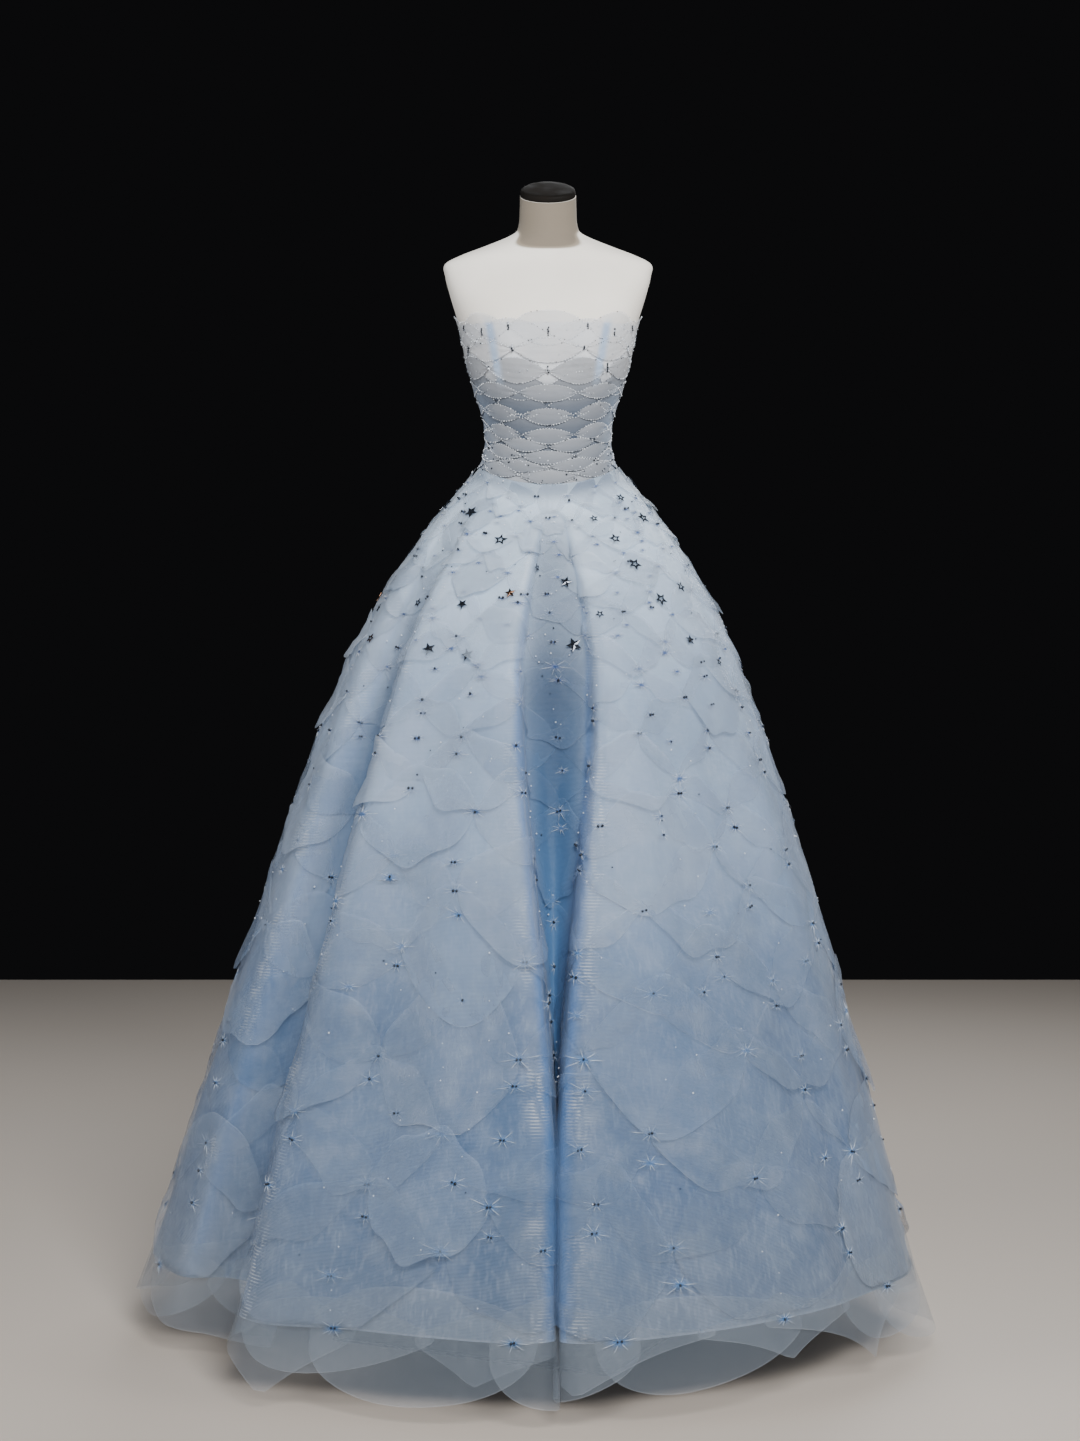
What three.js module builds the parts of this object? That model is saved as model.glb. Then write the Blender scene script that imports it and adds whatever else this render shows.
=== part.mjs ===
// A strapless ball gown of layered organza petals, standing on a dress form with a pole and a base plate.
// Millimetres, +Z up, the front faces -Y. Sizes are measured from the pole's axis; the whole is centred last.
// Angles run from centre front towards +X. Rows run downwards and columns run round the body.
import * as THREE from "three";

// Cloth
const CLOTH = 2; // thickness of a cloth wall
const SEAM_GAP = 0.3; // space between two sewn pieces
const WAIST_GAP = 0.6; // space between the bodice's lower edge and the skirt
const FORM_GAP = 0.6; // space between the form and the bodice

// Heights above the floor
const FORM_FOOT = 1215;
const NECK_BASE = 1905;
const WAIST_SEAM = { front: 1466, side: 1498, back: 1478 };
const NECKLINE = { front: 1752, side: 1752, back: 1722 };
const HEM = 128; // the line of the last row of stitched points
const PETAL_FOOT = 22; // the lowest point of the hanging petals

// Stand
const PLATE = { width: 520, depth: 650, thick: 6, corner: 12, turn: -25 };
const POLE_RADIUS = 17.5;
const SOCKET = { radius: 42, height: 34 };
const FLANGE = { radius: 55, height: 14 };

// Dress form: one row for each ring. half is half the width, front and back reach from the axis,
// square is the section's exponent (1 is an ellipse), tilt is the slope of the ring towards the back.
const FORM_RINGS = [
  { z: FORM_FOOT, half: 148, front: 96, back: 106, square: 0.95, tilt: 0 },
  { z: 1290, half: 158, front: 103, back: 118, square: 0.95, tilt: 0 },
  { z: 1370, half: 155, front: 104, back: 120, square: 0.95, tilt: 0 },
  { z: 1430, half: 143, front: 101, back: 112, square: 0.95, tilt: 0 },
  { z: 1482, half: 125, front: 95, back: 98, square: 0.95, tilt: 0 },
  { z: 1514, half: 111, front: 90, back: 88, square: 0.95, tilt: 0 },
  { z: 1546, half: 106, front: 88, back: 84, square: 0.95, tilt: 0 },
  { z: 1586, half: 111, front: 93, back: 88, square: 0.95, tilt: 0 },
  { z: 1632, half: 126, front: 102, back: 95, square: 0.92, tilt: 0 },
  { z: 1670, half: 137, front: 111, back: 99, square: 0.9, tilt: 0 },
  { z: 1704, half: 145, front: 117, back: 102, square: 0.88, tilt: 0 },
  { z: 1736, half: 152, front: 114, back: 104, square: 0.84, tilt: 0 },
  { z: 1764, half: 161, front: 106, back: 105, square: 0.8, tilt: 0 },
  { z: 1800, half: 172, front: 90, back: 101, square: 0.72, tilt: 0 },
  { z: 1832, half: 180, front: 70, back: 88, square: 0.66, tilt: 0 },
  { z: 1852, half: 180, front: 58, back: 76, square: 0.66, tilt: 0 },
  { z: 1868, half: 151, front: 54, back: 70, square: 0.7, tilt: 0.03 },
  { z: 1884, half: 111, front: 50, back: 66, square: 0.8, tilt: 0.1 },
  { z: NECK_BASE, half: 61, front: 46, back: 62, square: 0.95, tilt: 0.22 },
  { z: 1918, half: 52, front: 43, back: 60, square: 1, tilt: 0.28 },
  { z: 1950, half: 49.5, front: 42, back: 59, square: 1, tilt: 0.36 },
  { z: 1971, half: 49, front: 42, back: 59, square: 1, tilt: 0.42 },
];
const FORM_COLUMNS = 32;
// Heights of the form's plain rings, under and over the bodice
const BELOW_BODICE = [FORM_FOOT, 1290, 1360, 1410, 1445];
const ABOVE_BODICE = [1772, 1796, 1818, 1836, 1850, 1860, 1868, 1878, 1890, NECK_BASE, 1920, 1971];
// The cups: a soft rise on each side of the centre front
const CUP = { angle: 27, spread: 19, height: 1700, fall: 46, rise: 13 };
const NECK_CAP = { thick: 9, dome: 3, inset: 1.2 };

// Bodice: lens petals in a staggered net, raised in the outer points
const BODICE_PETALS = 8;
const BODICE_ROWS = 12;
const BODICE_RELIEF = 2.4;
const NECKLINE_SCALLOP = 11;
const ZIP_HALF = 2;
// Each panel runs between two columns, counted from centre front
const BODICE_PANELS = [
  { name: "bodice_front", from: -4, to: 4 },
  { name: "bodice_side_front_left", from: 4, to: 8 },
  { name: "bodice_side_back_left", from: 8, to: 12 },
  { name: "bodice_back_left", from: 12, to: 16 },
  { name: "bodice_back_right", from: -16, to: -12 },
  { name: "bodice_side_back_right", from: -12, to: -8 },
  { name: "bodice_side_front_right", from: -8, to: -4 },
];

// Skirt: its reach at the sides and its lean to the right side (-X) by height, then its petals,
// which grow towards the hem
const SKIRT_PROFILE = [
  { z: 1498, reach: 121, lean: 0 },
  { z: 1462, reach: 146, lean: 0 },
  { z: 1440, reach: 165, lean: 0 },
  { z: 1398, reach: 201, lean: 0 },
  { z: 1342, reach: 239, lean: 0 },
  { z: 1290, reach: 273, lean: -1 },
  { z: 1186, reach: 326, lean: -4 },
  { z: 1029, reach: 386, lean: -7 },
  { z: 871, reach: 440, lean: -10 },
  { z: 659, reach: 508, lean: -13 },
  { z: 395, reach: 584, lean: -18 },
  { z: HEM, reach: 660, lean: -22 },
  { z: 0, reach: 700, lean: -24 },
];
// How deep the skirt is from front to back, as a share of its width
const SKIRT_DEPTH_SHARE = [
  { z: 1498, share: 0.77 },
  { z: 1440, share: 0.8 },
  { z: 1342, share: 0.88 },
  { z: 1186, share: 0.95 },
  { z: 871, share: 0.99 },
  { z: 0, share: 1 },
];
const SKIRT_PETALS = 16;
const SKIRT_STEPS = 4; // columns for each petal
const SKIRT_GORES = 8;
const PETAL_ROWS = 17;
const FIRST_ROW = 30; // height of half a petal at the waist seam
const ROW_GROWTH = 1.112; // each row is this much taller than the one above it
const SPLIT_FROM = 14; // from this row down, each row of petals has two rows of points
const SKIRT_RELIEF = { waist: 3, hem: 10 };
const SKIRT_EASE = 1.3; // the skirt's top edge stands this far off the form

// One row for each deep fold. valley is its angle; open is how far its lips stand from it on each side, in
// degrees; rise is how far each lip stands out and depth how far the fold goes in, as shares of the reach.
const FOLDS = [
  { valley: 3, openLow: 10, openHigh: 10, riseLow: 0.02, riseHigh: 0.03, depth: 0.2, closes: true },
  { valley: 85, openLow: 9, openHigh: 9, riseLow: 0.02, riseHigh: 0, depth: 0.14, closes: false },
  { valley: 119, openLow: 9, openHigh: 9, riseLow: 0.01, riseHigh: 0.01, depth: 0.13, closes: false },
  { valley: 152, openLow: 9, openHigh: 9, riseLow: 0.01, riseHigh: 0.02, depth: 0.14, closes: false },
  { valley: 184, openLow: 9, openHigh: 9, riseLow: 0.02, riseHigh: 0.02, depth: 0.14, closes: false },
  { valley: 221, openLow: 9, openHigh: 9, riseLow: 0.02, riseHigh: 0.01, depth: 0.14, closes: false },
  { valley: 261, openLow: 10, openHigh: 10, riseLow: 0.01, riseHigh: 0.01, depth: 0.13, closes: false },
  { valley: 310, openLow: 16, openHigh: 7, riseLow: 0, riseHigh: 0.07, depth: 0.18, closes: false },
];
// How much of each fold's depth it has at a height
const FOLD_RAMP = [
  { z: 1445, share: 0 },
  { z: 1390, share: 0.18 },
  { z: 1290, share: 0.55 },
  { z: 1130, share: 0.85 },
  { z: 870, share: 1 },
  { z: 0, share: 0.95 },
];
// How wide the centre front fold stands open at a height, as a share of its open angle
const CLOSING = [
  { z: 1445, share: 0.7 },
  { z: 1290, share: 1.15 },
  { z: 1160, share: 1.2 },
  { z: 1050, share: 1.05 },
  { z: 930, share: 0.82 },
  { z: 786, share: 0.55 },
  { z: 650, share: 0.34 },
  { z: 530, share: 0.22 },
  { z: 400, share: 0.13 },
  { z: 0, share: 0.1 },
];
// How deep the centre front fold is at a height, as a share of its full depth
const SHALLOWING = [
  { z: 650, share: 1 },
  { z: 300, share: 0.7 },
  { z: 0, share: 0.5 },
];
// Shape of a fold: span is from the edge of its wall to the top of its lip, in degrees; drop and wallDepth
// are shares of its depth, and wallOpen is a share of its open angle.
const LIP = { span: 5, drop: 0.14, wallOpen: 0.84, wallDepth: 0.66 };

const COLOURS = {
  organza: { color: 0xa9c3e0, roughness: 0.45, metalness: 0 },
  bodice: { color: 0xc9d3de, roughness: 0.5, metalness: 0 },
  zip: { color: 0xb9c8d8, roughness: 0.6, metalness: 0 },
  form: { color: 0xe6e2da, roughness: 0.9, metalness: 0 },
  cap: { color: 0x24211d, roughness: 0.55, metalness: 0 },
  steel: { color: 0x2b2b2e, roughness: 0.5, metalness: 0.6 },
};

const radians = THREE.MathUtils.degToRad;
const lerp = THREE.MathUtils.lerp;

// The value of a column of a table of heights, highest row first, at a height.
function atHeight(table, z, column) {
  if (z >= table[0].z) return table[0][column];
  for (let i = 1; i < table.length; i += 1) {
    if (z >= table[i].z) {
      const share = (table[i - 1].z - z) / (table[i - 1].z - table[i].z);
      return lerp(table[i - 1][column], table[i][column], share);
    }
  }
  return table[table.length - 1][column];
}

// A height that differs at the front, the sides and the back.
function roundTheBody(heights, angle) {
  const forward = Math.cos(angle);
  const end = forward > 0 ? heights.front : heights.back;
  return lerp(heights.side, end, forward * forward);
}

// A closed solid between an inner and an outer grid of points, [row][column].
function wallGeometry(inner, outer) {
  const rows = outer.length;
  const columns = outer[0].length;
  const points = [...outer.flat(), ...inner.flat()];
  const out = (i, j) => i * columns + j;
  const inn = (i, j) => rows * columns + i * columns + j;
  const faces = [];
  const quad = (a, b, c, d) => faces.push(a, b, c, a, c, d);
  for (let i = 0; i < rows - 1; i += 1) {
    for (let j = 0; j < columns - 1; j += 1) {
      quad(out(i, j), out(i + 1, j), out(i + 1, j + 1), out(i, j + 1));
      quad(inn(i, j), inn(i, j + 1), inn(i + 1, j + 1), inn(i + 1, j));
    }
    const last = columns - 1;
    quad(out(i, 0), inn(i, 0), inn(i + 1, 0), out(i + 1, 0));
    quad(out(i, last), out(i + 1, last), inn(i + 1, last), inn(i, last));
  }
  for (let j = 0; j < columns - 1; j += 1) {
    const last = rows - 1;
    quad(out(0, j), out(0, j + 1), inn(0, j + 1), inn(0, j));
    quad(out(last, j), inn(last, j), inn(last, j + 1), out(last, j + 1));
  }
  return indexed(points, faces);
}

// A closed solid of rings, lowest first, with a flat fan at each end.
function ringGeometry(rings) {
  const columns = rings[0].length;
  const points = rings.flat();
  const faces = [];
  for (let i = 0; i < rings.length - 1; i += 1) {
    for (let j = 0; j < columns; j += 1) {
      const next = (j + 1) % columns;
      const low = i * columns;
      const high = low + columns;
      faces.push(low + j, low + next, high + j, low + next, high + next, high + j);
    }
  }
  const middle = (ring) =>
    ring.reduce((sum, p) => sum.add(p), new THREE.Vector3()).divideScalar(columns);
  const foot = points.push(middle(rings[0])) - 1;
  const head = points.push(middle(rings[rings.length - 1])) - 1;
  const top = (rings.length - 1) * columns;
  for (let j = 0; j < columns; j += 1) {
    const next = (j + 1) % columns;
    faces.push(foot, next, j, head, top + j, top + next);
  }
  return indexed(points, faces);
}

function indexed(points, faces) {
  const geometry = new THREE.BufferGeometry().setFromPoints(points);
  geometry.setIndex(faces);
  geometry.computeVertexNormals();
  return geometry;
}

const gown = new THREE.Group();

function addPiece(name, geometry, finish) {
  const material = new THREE.MeshStandardMaterial(COLOURS[finish]);
  const mesh = new THREE.Mesh(geometry, material);
  mesh.name = name;
  gown.add(mesh);
  return mesh;
}

// Dress form

// The form's sizes at a height, on a smooth curve through the rows of the table.
function formSize(z, key) {
  const last = FORM_RINGS.length - 1;
  const high = Math.min(Math.max(FORM_RINGS.findIndex((ring) => ring.z >= z), 1), last);
  const slope = (i) => {
    const a = FORM_RINGS[Math.max(i - 1, 0)];
    const b = FORM_RINGS[Math.min(i + 1, last)];
    return (b[key] - a[key]) / (b.z - a.z);
  };
  const a = FORM_RINGS[high - 1];
  const b = FORM_RINGS[high];
  const span = b.z - a.z;
  const t = (z - a.z) / span;
  const rise = t * t * (3 - 2 * t);
  const bend = span * (slope(high - 1) * t * (1 - t) ** 2 - slope(high) * t * t * (1 - t));
  return lerp(a[key], b[key], rise) + bend;
}

function formPoint(column, z) {
  const angle = (column / FORM_COLUMNS) * 2 * Math.PI;
  const side = Math.sin(angle);
  const forward = Math.cos(angle);
  const square = formSize(z, "square");
  const power = (value) => Math.sign(value) * Math.abs(value) ** square;
  const x = formSize(z, "half") * power(side);
  let y = -formSize(z, forward > 0 ? "front" : "back") * power(forward);
  if (forward > 0) {
    const degrees = THREE.MathUtils.radToDeg(Math.asin(Math.abs(side)));
    const across = Math.exp(-(((degrees - CUP.angle) / CUP.spread) ** 2));
    const along = Math.exp(-(((z - CUP.height) / CUP.fall) ** 2));
    y -= CUP.rise * across * along;
  }
  return new THREE.Vector3(x, y, z + formSize(z, "tilt") * y);
}

// A point off the form's surface, moved level and straight out from it.
function offForm(column, z, outward) {
  const before = formPoint(column - 1, z);
  const after = formPoint(column + 1, z);
  const normal = new THREE.Vector3(after.y - before.y, before.x - after.x, 0).normalize();
  return formPoint(column, z).addScaledVector(normal, outward);
}

// The bodice's rows lie level with the form's rings, from the neckline down to the waist seam.
function bodiceHeight(row, angle) {
  return lerp(roundTheBody(NECKLINE, angle), roundTheBody(WAIST_SEAM, angle), row / BODICE_ROWS);
}

function formRing(heightAt) {
  return Array.from({ length: FORM_COLUMNS }, (_, column) =>
    formPoint(column, heightAt((column / FORM_COLUMNS) * 2 * Math.PI)));
}

const formGrid = [];
for (const z of BELOW_BODICE) formGrid.push(formRing(() => z));
for (let row = BODICE_ROWS; row >= 0; row -= 1) formGrid.push(formRing((angle) => bodiceHeight(row, angle)));
for (const z of ABOVE_BODICE) formGrid.push(formRing(() => z));

function buildForm() {
  addPiece("form_torso", ringGeometry(formGrid), "form");
  const top = formGrid[formGrid.length - 1];
  const centre = top.reduce((sum, p) => sum.add(p), new THREE.Vector3()).divideScalar(top.length);
  const across = top[FORM_COLUMNS / 4].clone().sub(centre).normalize();
  const back = top[FORM_COLUMNS / 2].clone().sub(centre).normalize();
  const up = new THREE.Vector3().crossVectors(across, back).normalize();
  const capRing = (inset, rise) =>
    top.filter((_, j) => j % 2 === 0).map((p) => {
      const spoke = p.clone().sub(centre);
      spoke.setLength(spoke.length() - inset);
      return centre.clone().add(spoke).addScaledVector(up, rise);
    });
  const rings = [
    capRing(NECK_CAP.inset, SEAM_GAP),
    capRing(NECK_CAP.inset, NECK_CAP.thick),
    capRing(NECK_CAP.inset + 6, NECK_CAP.thick + NECK_CAP.dome),
  ];
  addPiece("form_neck_cap", ringGeometry(rings), "cap");
}

// Stand

function cylinderPiece(name, radius, low, high, sides) {
  const geometry = new THREE.CylinderGeometry(radius, radius, high - low, sides);
  const mesh = addPiece(name, geometry, "steel");
  mesh.rotation.x = Math.PI / 2;
  mesh.position.z = (low + high) / 2;
}

function buildStand() {
  const { width, depth, thick, corner, turn } = PLATE;
  const outline = new THREE.Shape();
  const right = width / 2 - corner;
  const far = depth / 2 - corner;
  outline.absarc(right, far, corner, 0, Math.PI / 2, false);
  outline.absarc(-right, far, corner, Math.PI / 2, Math.PI, false);
  outline.absarc(-right, -far, corner, Math.PI, 1.5 * Math.PI, false);
  outline.absarc(right, -far, corner, 1.5 * Math.PI, 2 * Math.PI, false);
  const plate = new THREE.ExtrudeGeometry(outline, {
    depth: thick,
    bevelEnabled: false,
    curveSegments: 4,
  });
  addPiece("stand_plate", plate, "steel").rotation.z = radians(turn);
  const flangeTop = thick + SEAM_GAP + FLANGE.height;
  const socketFoot = FORM_FOOT - SEAM_GAP - SOCKET.height;
  cylinderPiece("stand_flange", FLANGE.radius, thick + SEAM_GAP, flangeTop, 32);
  cylinderPiece("stand_pole", POLE_RADIUS, flangeTop + SEAM_GAP, socketFoot - SEAM_GAP, 24);
  cylinderPiece("stand_socket", SOCKET.radius, socketFoot, FORM_FOOT - SEAM_GAP, 32);
}

// Bodice

// A petal's outward swell: nothing at its two stitched ends, most at its middle.
function swell(column, row, petals, columns) {
  const phase = (column * petals) / columns + (row % 2) / 2;
  return Math.abs(Math.sin(Math.PI * phase)) ** 0.9;
}

// The neckline rises and falls with the petals of the first row.
function bodicePoint(row, column, outward) {
  const angle = (column / FORM_COLUMNS) * 2 * Math.PI;
  const arch = Math.abs(Math.cos((BODICE_PETALS / 2) * angle)) ** 0.8;
  const scallop = row === 0 ? NECKLINE_SCALLOP * (arch - 0.5) : 0;
  const edge = row === 0 || row === BODICE_ROWS ? 0.35 : 1;
  const relief = BODICE_RELIEF * edge * swell(column, row, BODICE_PETALS, FORM_COLUMNS);
  return offForm(column, bodiceHeight(row, angle) + scallop, FORM_GAP + outward + (outward > 0 ? relief : 0));
}

// The point between two whole columns, a little way from a panel's edge.
function nudged(pointAt, from, towards, distance) {
  const edge = pointAt(from);
  const step = pointAt(towards).sub(edge);
  return edge.addScaledVector(step.normalize(), distance);
}

// A strip of columns with its two side edges drawn in by half a seam's gap.
function strip(from, to, rows, pointAt, insetFrom, insetTo) {
  return rows.map((row) => {
    const at = (column) => pointAt(row, column);
    const line = [nudged(at, from, from + 1, insetFrom)];
    for (let column = from + 1; column < to; column += 1) line.push(at(column));
    line.push(nudged(at, to, to - 1, insetTo));
    return line;
  });
}

function buildBodice() {
  const rows = Array.from({ length: BODICE_ROWS + 1 }, (_, row) => row);
  const centreBack = FORM_COLUMNS / 2;
  for (const panel of BODICE_PANELS) {
    const inset = (column) =>
      Math.abs(column) === centreBack ? ZIP_HALF + SEAM_GAP : SEAM_GAP / 2;
    const layer = (outward) =>
      strip(panel.from, panel.to, rows, (row, column) => bodicePoint(row, column, outward),
        inset(panel.from), inset(panel.to));
    addPiece(panel.name, wallGeometry(layer(0), layer(CLOTH)), "bodice");
  }
  const zipLayer = (outward) =>
    rows.map((row) => {
      const at = (column) => bodicePoint(row, column, outward);
      return [
        nudged(at, centreBack, centreBack - 1, ZIP_HALF),
        at(centreBack),
        nudged(at, centreBack, centreBack + 1, ZIP_HALF),
      ];
    });
  addPiece("back_zip", wallGeometry(zipLayer(0), zipLayer(CLOTH)), "zip");
}

// Skirt

// The height at which the skirt has run a length down its side from the waist seam.
function heightAlong(length) {
  const step = 4;
  let z = WAIST_SEAM.side;
  for (let run = 0; run < length; run += step) {
    const slope = (atHeight(SKIRT_PROFILE, z - step, "reach") - atHeight(SKIRT_PROFILE, z, "reach")) / step;
    z -= Math.min(step, length - run) / Math.hypot(1, slope);
  }
  return z;
}

// The rows of points: whole numbers are rows of petals, halves lie between them.
const skirtRows = [];
for (let row = 0; row < PETAL_ROWS; row += 1) {
  skirtRows.push(row);
  if (row >= SPLIT_FROM) skirtRows.push(row + 0.5);
}
skirtRows.push(PETAL_ROWS);

function rowLength(row) {
  return (FIRST_ROW * (ROW_GROWTH ** row - 1)) / (ROW_GROWTH - 1);
}
const hemLength = rowLength(PETAL_ROWS);
const sideHeights = skirtRows.map((row) => heightAlong(rowLength(row)));
const hemHeight = sideHeights[sideHeights.length - 1];

// Row heights stretched so that the last row is at the hem.
function rowHeight(row) {
  const z = heightAlong(rowLength(row));
  return lerp(WAIST_SEAM.side, HEM, (WAIST_SEAM.side - z) / (WAIST_SEAM.side - hemHeight));
}

// The corner points of the section at a height: each fold's lips, walls and floor, and the lobes between.
function sectionCorners(z) {
  const reach = atHeight(SKIRT_PROFILE, z, "reach");
  const share = atHeight(SKIRT_DEPTH_SHARE, z, "share");
  const lean = atHeight(SKIRT_PROFILE, z, "lean");
  const ramp = atHeight(FOLD_RAMP, z, "share");
  const corner = (degrees, radius) => {
    const along = reach * radius;
    const angle = radians(degrees);
    return new THREE.Vector3(lean + along * Math.sin(angle), -share * along * Math.cos(angle), 0);
  };
  const corners = [];
  FOLDS.forEach((fold, k) => {
    const next = FOLDS[(k + 1) % FOLDS.length];
    const width = fold.closes ? atHeight(CLOSING, z, "share") : 1;
    const depth = fold.depth * ramp * (fold.closes ? atHeight(SHALLOWING, z, "share") : 1);
    const high = fold.openHigh * width;
    const low = fold.openLow * width;
    const side = (open, rise, way) => {
      const lip = 1 + rise * ramp;
      return [
        corner(fold.valley + way * open * LIP.wallOpen, 1 - depth * LIP.wallDepth),
        corner(fold.valley + way * open, lip - depth * LIP.drop),
        corner(fold.valley + way * (open + LIP.span), lip),
      ];
    };
    corners.push(...side(low, fold.riseLow, -1).reverse());
    corners.push(corner(fold.valley, 1 - depth));
    corners.push(...side(high, fold.riseHigh, 1));
    const nextWidth = next.closes ? atHeight(CLOSING, z, "share") : 1;
    const from = fold.valley + high + LIP.span;
    const to = next.valley + (k === FOLDS.length - 1 ? 360 : 0) - next.openLow * nextWidth - LIP.span;
    const between = to - from > 30 ? [0.33, 0.67] : [0.5];
    for (const part of between) corners.push(corner(lerp(from, to, part), 1));
  });
  return corners;
}

const SKIRT_COLUMNS = SKIRT_PETALS * SKIRT_STEPS;

// The section at a height as evenly spaced points, the first at the floor of the centre front fold.
function section(z) {
  const corners = sectionCorners(z);
  const start = 3;
  const turned = [...corners.slice(start), ...corners.slice(0, start)];
  const curve = new THREE.CatmullRomCurve3(turned, true, "centripetal");
  curve.arcLengthDivisions = 1200;
  return curve.getSpacedPoints(SKIRT_COLUMNS).slice(0, SKIRT_COLUMNS);
}

// How far a point of the section stands from the nearest fold's floor, from 0 in it to 1 on the open lobes.
function openness(point, z) {
  const degrees = (THREE.MathUtils.radToDeg(Math.atan2(point.x, -point.y)) + 360) % 360;
  let least = 1;
  for (const fold of FOLDS) {
    const width = fold.closes ? atHeight(CLOSING, z, "share") : 1;
    const offset = ((degrees - fold.valley + 540) % 360) - 180;
    const open = (offset > 0 ? fold.openHigh : fold.openLow) * width;
    least = Math.min(least, THREE.MathUtils.smoothstep(Math.abs(offset), open * 0.9, open + LIP.span + 4));
  }
  return least;
}

// The skirt's inner points on one row.
function skirtRow(row) {
  const z = rowHeight(row);
  const fade = THREE.MathUtils.smoothstep(z, 1150, WAIST_SEAM.side);
  return section(z).map((point) => {
    const angle = Math.atan2(point.x, -point.y);
    const dip = (roundTheBody(WAIST_SEAM, angle) - WAIST_SEAM.side) * fade;
    return point.setZ(z + dip);
  });
}

// The top row stands just off the form, under the bodice's straight-sided edge.
function waistRow(guide) {
  const seamAt = (column) => roundTheBody(WAIST_SEAM, (column / FORM_COLUMNS) * 2 * Math.PI);
  return guide.map((point) => {
    const column = (Math.atan2(point.x, -point.y) / (2 * Math.PI)) * FORM_COLUMNS;
    const low = Math.floor(column);
    const seam = lerp(seamAt(low), seamAt(low + 1), column - low) - WAIST_GAP;
    return offForm(column, seam, SKIRT_EASE);
  });
}

const skirtInner = skirtRows.map((row) => skirtRow(row));
skirtInner[0] = waistRow(skirtInner[0]);

// The outward direction at a point of a closed grid; it is level at the waist, so the seam stays open.
function outwardAt(grid, i, j) {
  const columns = grid[0].length;
  const down = grid[Math.min(i + 1, grid.length - 1)][j].clone().sub(grid[Math.max(i - 1, 0)][j]);
  const round = grid[i][(j + 1) % columns].clone().sub(grid[i][(j + columns - 1) % columns]);
  const outward = down.cross(round).normalize();
  return i === 0 ? outward.setZ(0).normalize() : outward;
}

function skirtRelief(row, column, point, z) {
  const size = lerp(SKIRT_RELIEF.waist, SKIRT_RELIEF.hem, row / PETAL_ROWS);
  const whole = Math.floor(row);
  const onRow = swell(column, whole, SKIRT_PETALS, SKIRT_COLUMNS);
  const below = swell(column, whole + 1, SKIRT_PETALS, SKIRT_COLUMNS);
  const share = row === whole ? onRow : 0.55 * Math.max(onRow, below);
  const edge = row === 0 || row === PETAL_ROWS ? 0.2 : 1;
  return size * share * edge * openness(point, z);
}

const skirtOuter = skirtInner.map((line, i) =>
  line.map((point, j) => {
    const relief = skirtRelief(skirtRows[i], j, point, rowHeight(skirtRows[i]));
    return point.clone().addScaledVector(outwardAt(skirtInner, i, j), CLOTH + relief);
  }),
);

function buildSkirt() {
  const wide = SKIRT_COLUMNS / SKIRT_GORES;
  const rows = skirtRows.map((_, i) => i);
  for (let gore = 0; gore < SKIRT_GORES; gore += 1) {
    const layer = (grid) =>
      strip(gore * wide, (gore + 1) * wide, rows, (i, column) => grid[i][column % SKIRT_COLUMNS].clone(),
        SEAM_GAP / 2, SEAM_GAP / 2);
    addPiece("skirt_gore_" + (gore + 1), wallGeometry(layer(skirtInner), layer(skirtOuter)), "organza");
  }
}

// Hem petals: half discs that hang from the last row of stitched points

const PETAL_SHARES = [0.004, 0.1, 0.25, 0.5, 0.75, 0.9, 0.996]; // points across a petal
const PETAL_STEPS = 2;
const PETAL_TIP = 4; // height of a petal's side edge, at its stitched end

function buildHemPetals() {
  const last = skirtInner.length - 1;
  const hemInner = skirtInner[last];
  const above = skirtInner[last - 1];
  const drop = HEM - PETAL_FOOT;
  const parity = (PETAL_ROWS % 2) / 2;
  for (let petal = 0; petal < SKIRT_PETALS; petal += 1) {
    const start = (petal + parity) * SKIRT_STEPS;
    const layer = (outward) => {
      const at = (share, down) => {
        const column = start + share * SKIRT_STEPS;
        const low = Math.floor(column) % SKIRT_COLUMNS;
        const next = (low + 1) % SKIRT_COLUMNS;
        const part = column - Math.floor(column);
        const hem = hemInner[low].clone().lerp(hemInner[next], part);
        const over = above[low].clone().lerp(above[next], part);
        const normal = outwardAt(skirtInner, last, low).lerp(outwardAt(skirtInner, last, next), part);
        const fall = hem.clone().sub(over);
        fall.multiplyScalar(1 / Math.abs(fall.z));
        return hem.addScaledVector(fall, down).addScaledVector(normal.normalize(), outward);
      };
      const lines = [];
      for (let step = 0; step <= PETAL_STEPS; step += 1) {
        lines.push(PETAL_SHARES.map((share) => {
          const length = PETAL_TIP + (drop - PETAL_TIP) * Math.sin(Math.PI * share) ** 0.62;
          return at(share, SEAM_GAP + (length * step) / PETAL_STEPS);
        }));
      }
      return lines;
    };
    const number = String(petal + 1).padStart(2, "0");
    addPiece("hem_petal_" + number, wallGeometry(layer(0), layer(CLOTH)), "organza");
  }
}

buildForm();
buildStand();
buildBodice();
buildSkirt();
buildHemPetals();

// The whole is centred on its box, with its foot on the floor.
const box = new THREE.Box3().setFromObject(gown);
const middle = box.getCenter(new THREE.Vector3());
gown.position.set(-middle.x, -middle.y, -box.min.z);

export default gown;
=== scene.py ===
# A strapless ball gown of layered organza petals, standing on a dress form with a pole and a base plate.
# Metres, +Z up, the front faces -Y. The surfaces are worked out in millimetres from the pole's axis.
import math

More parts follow.
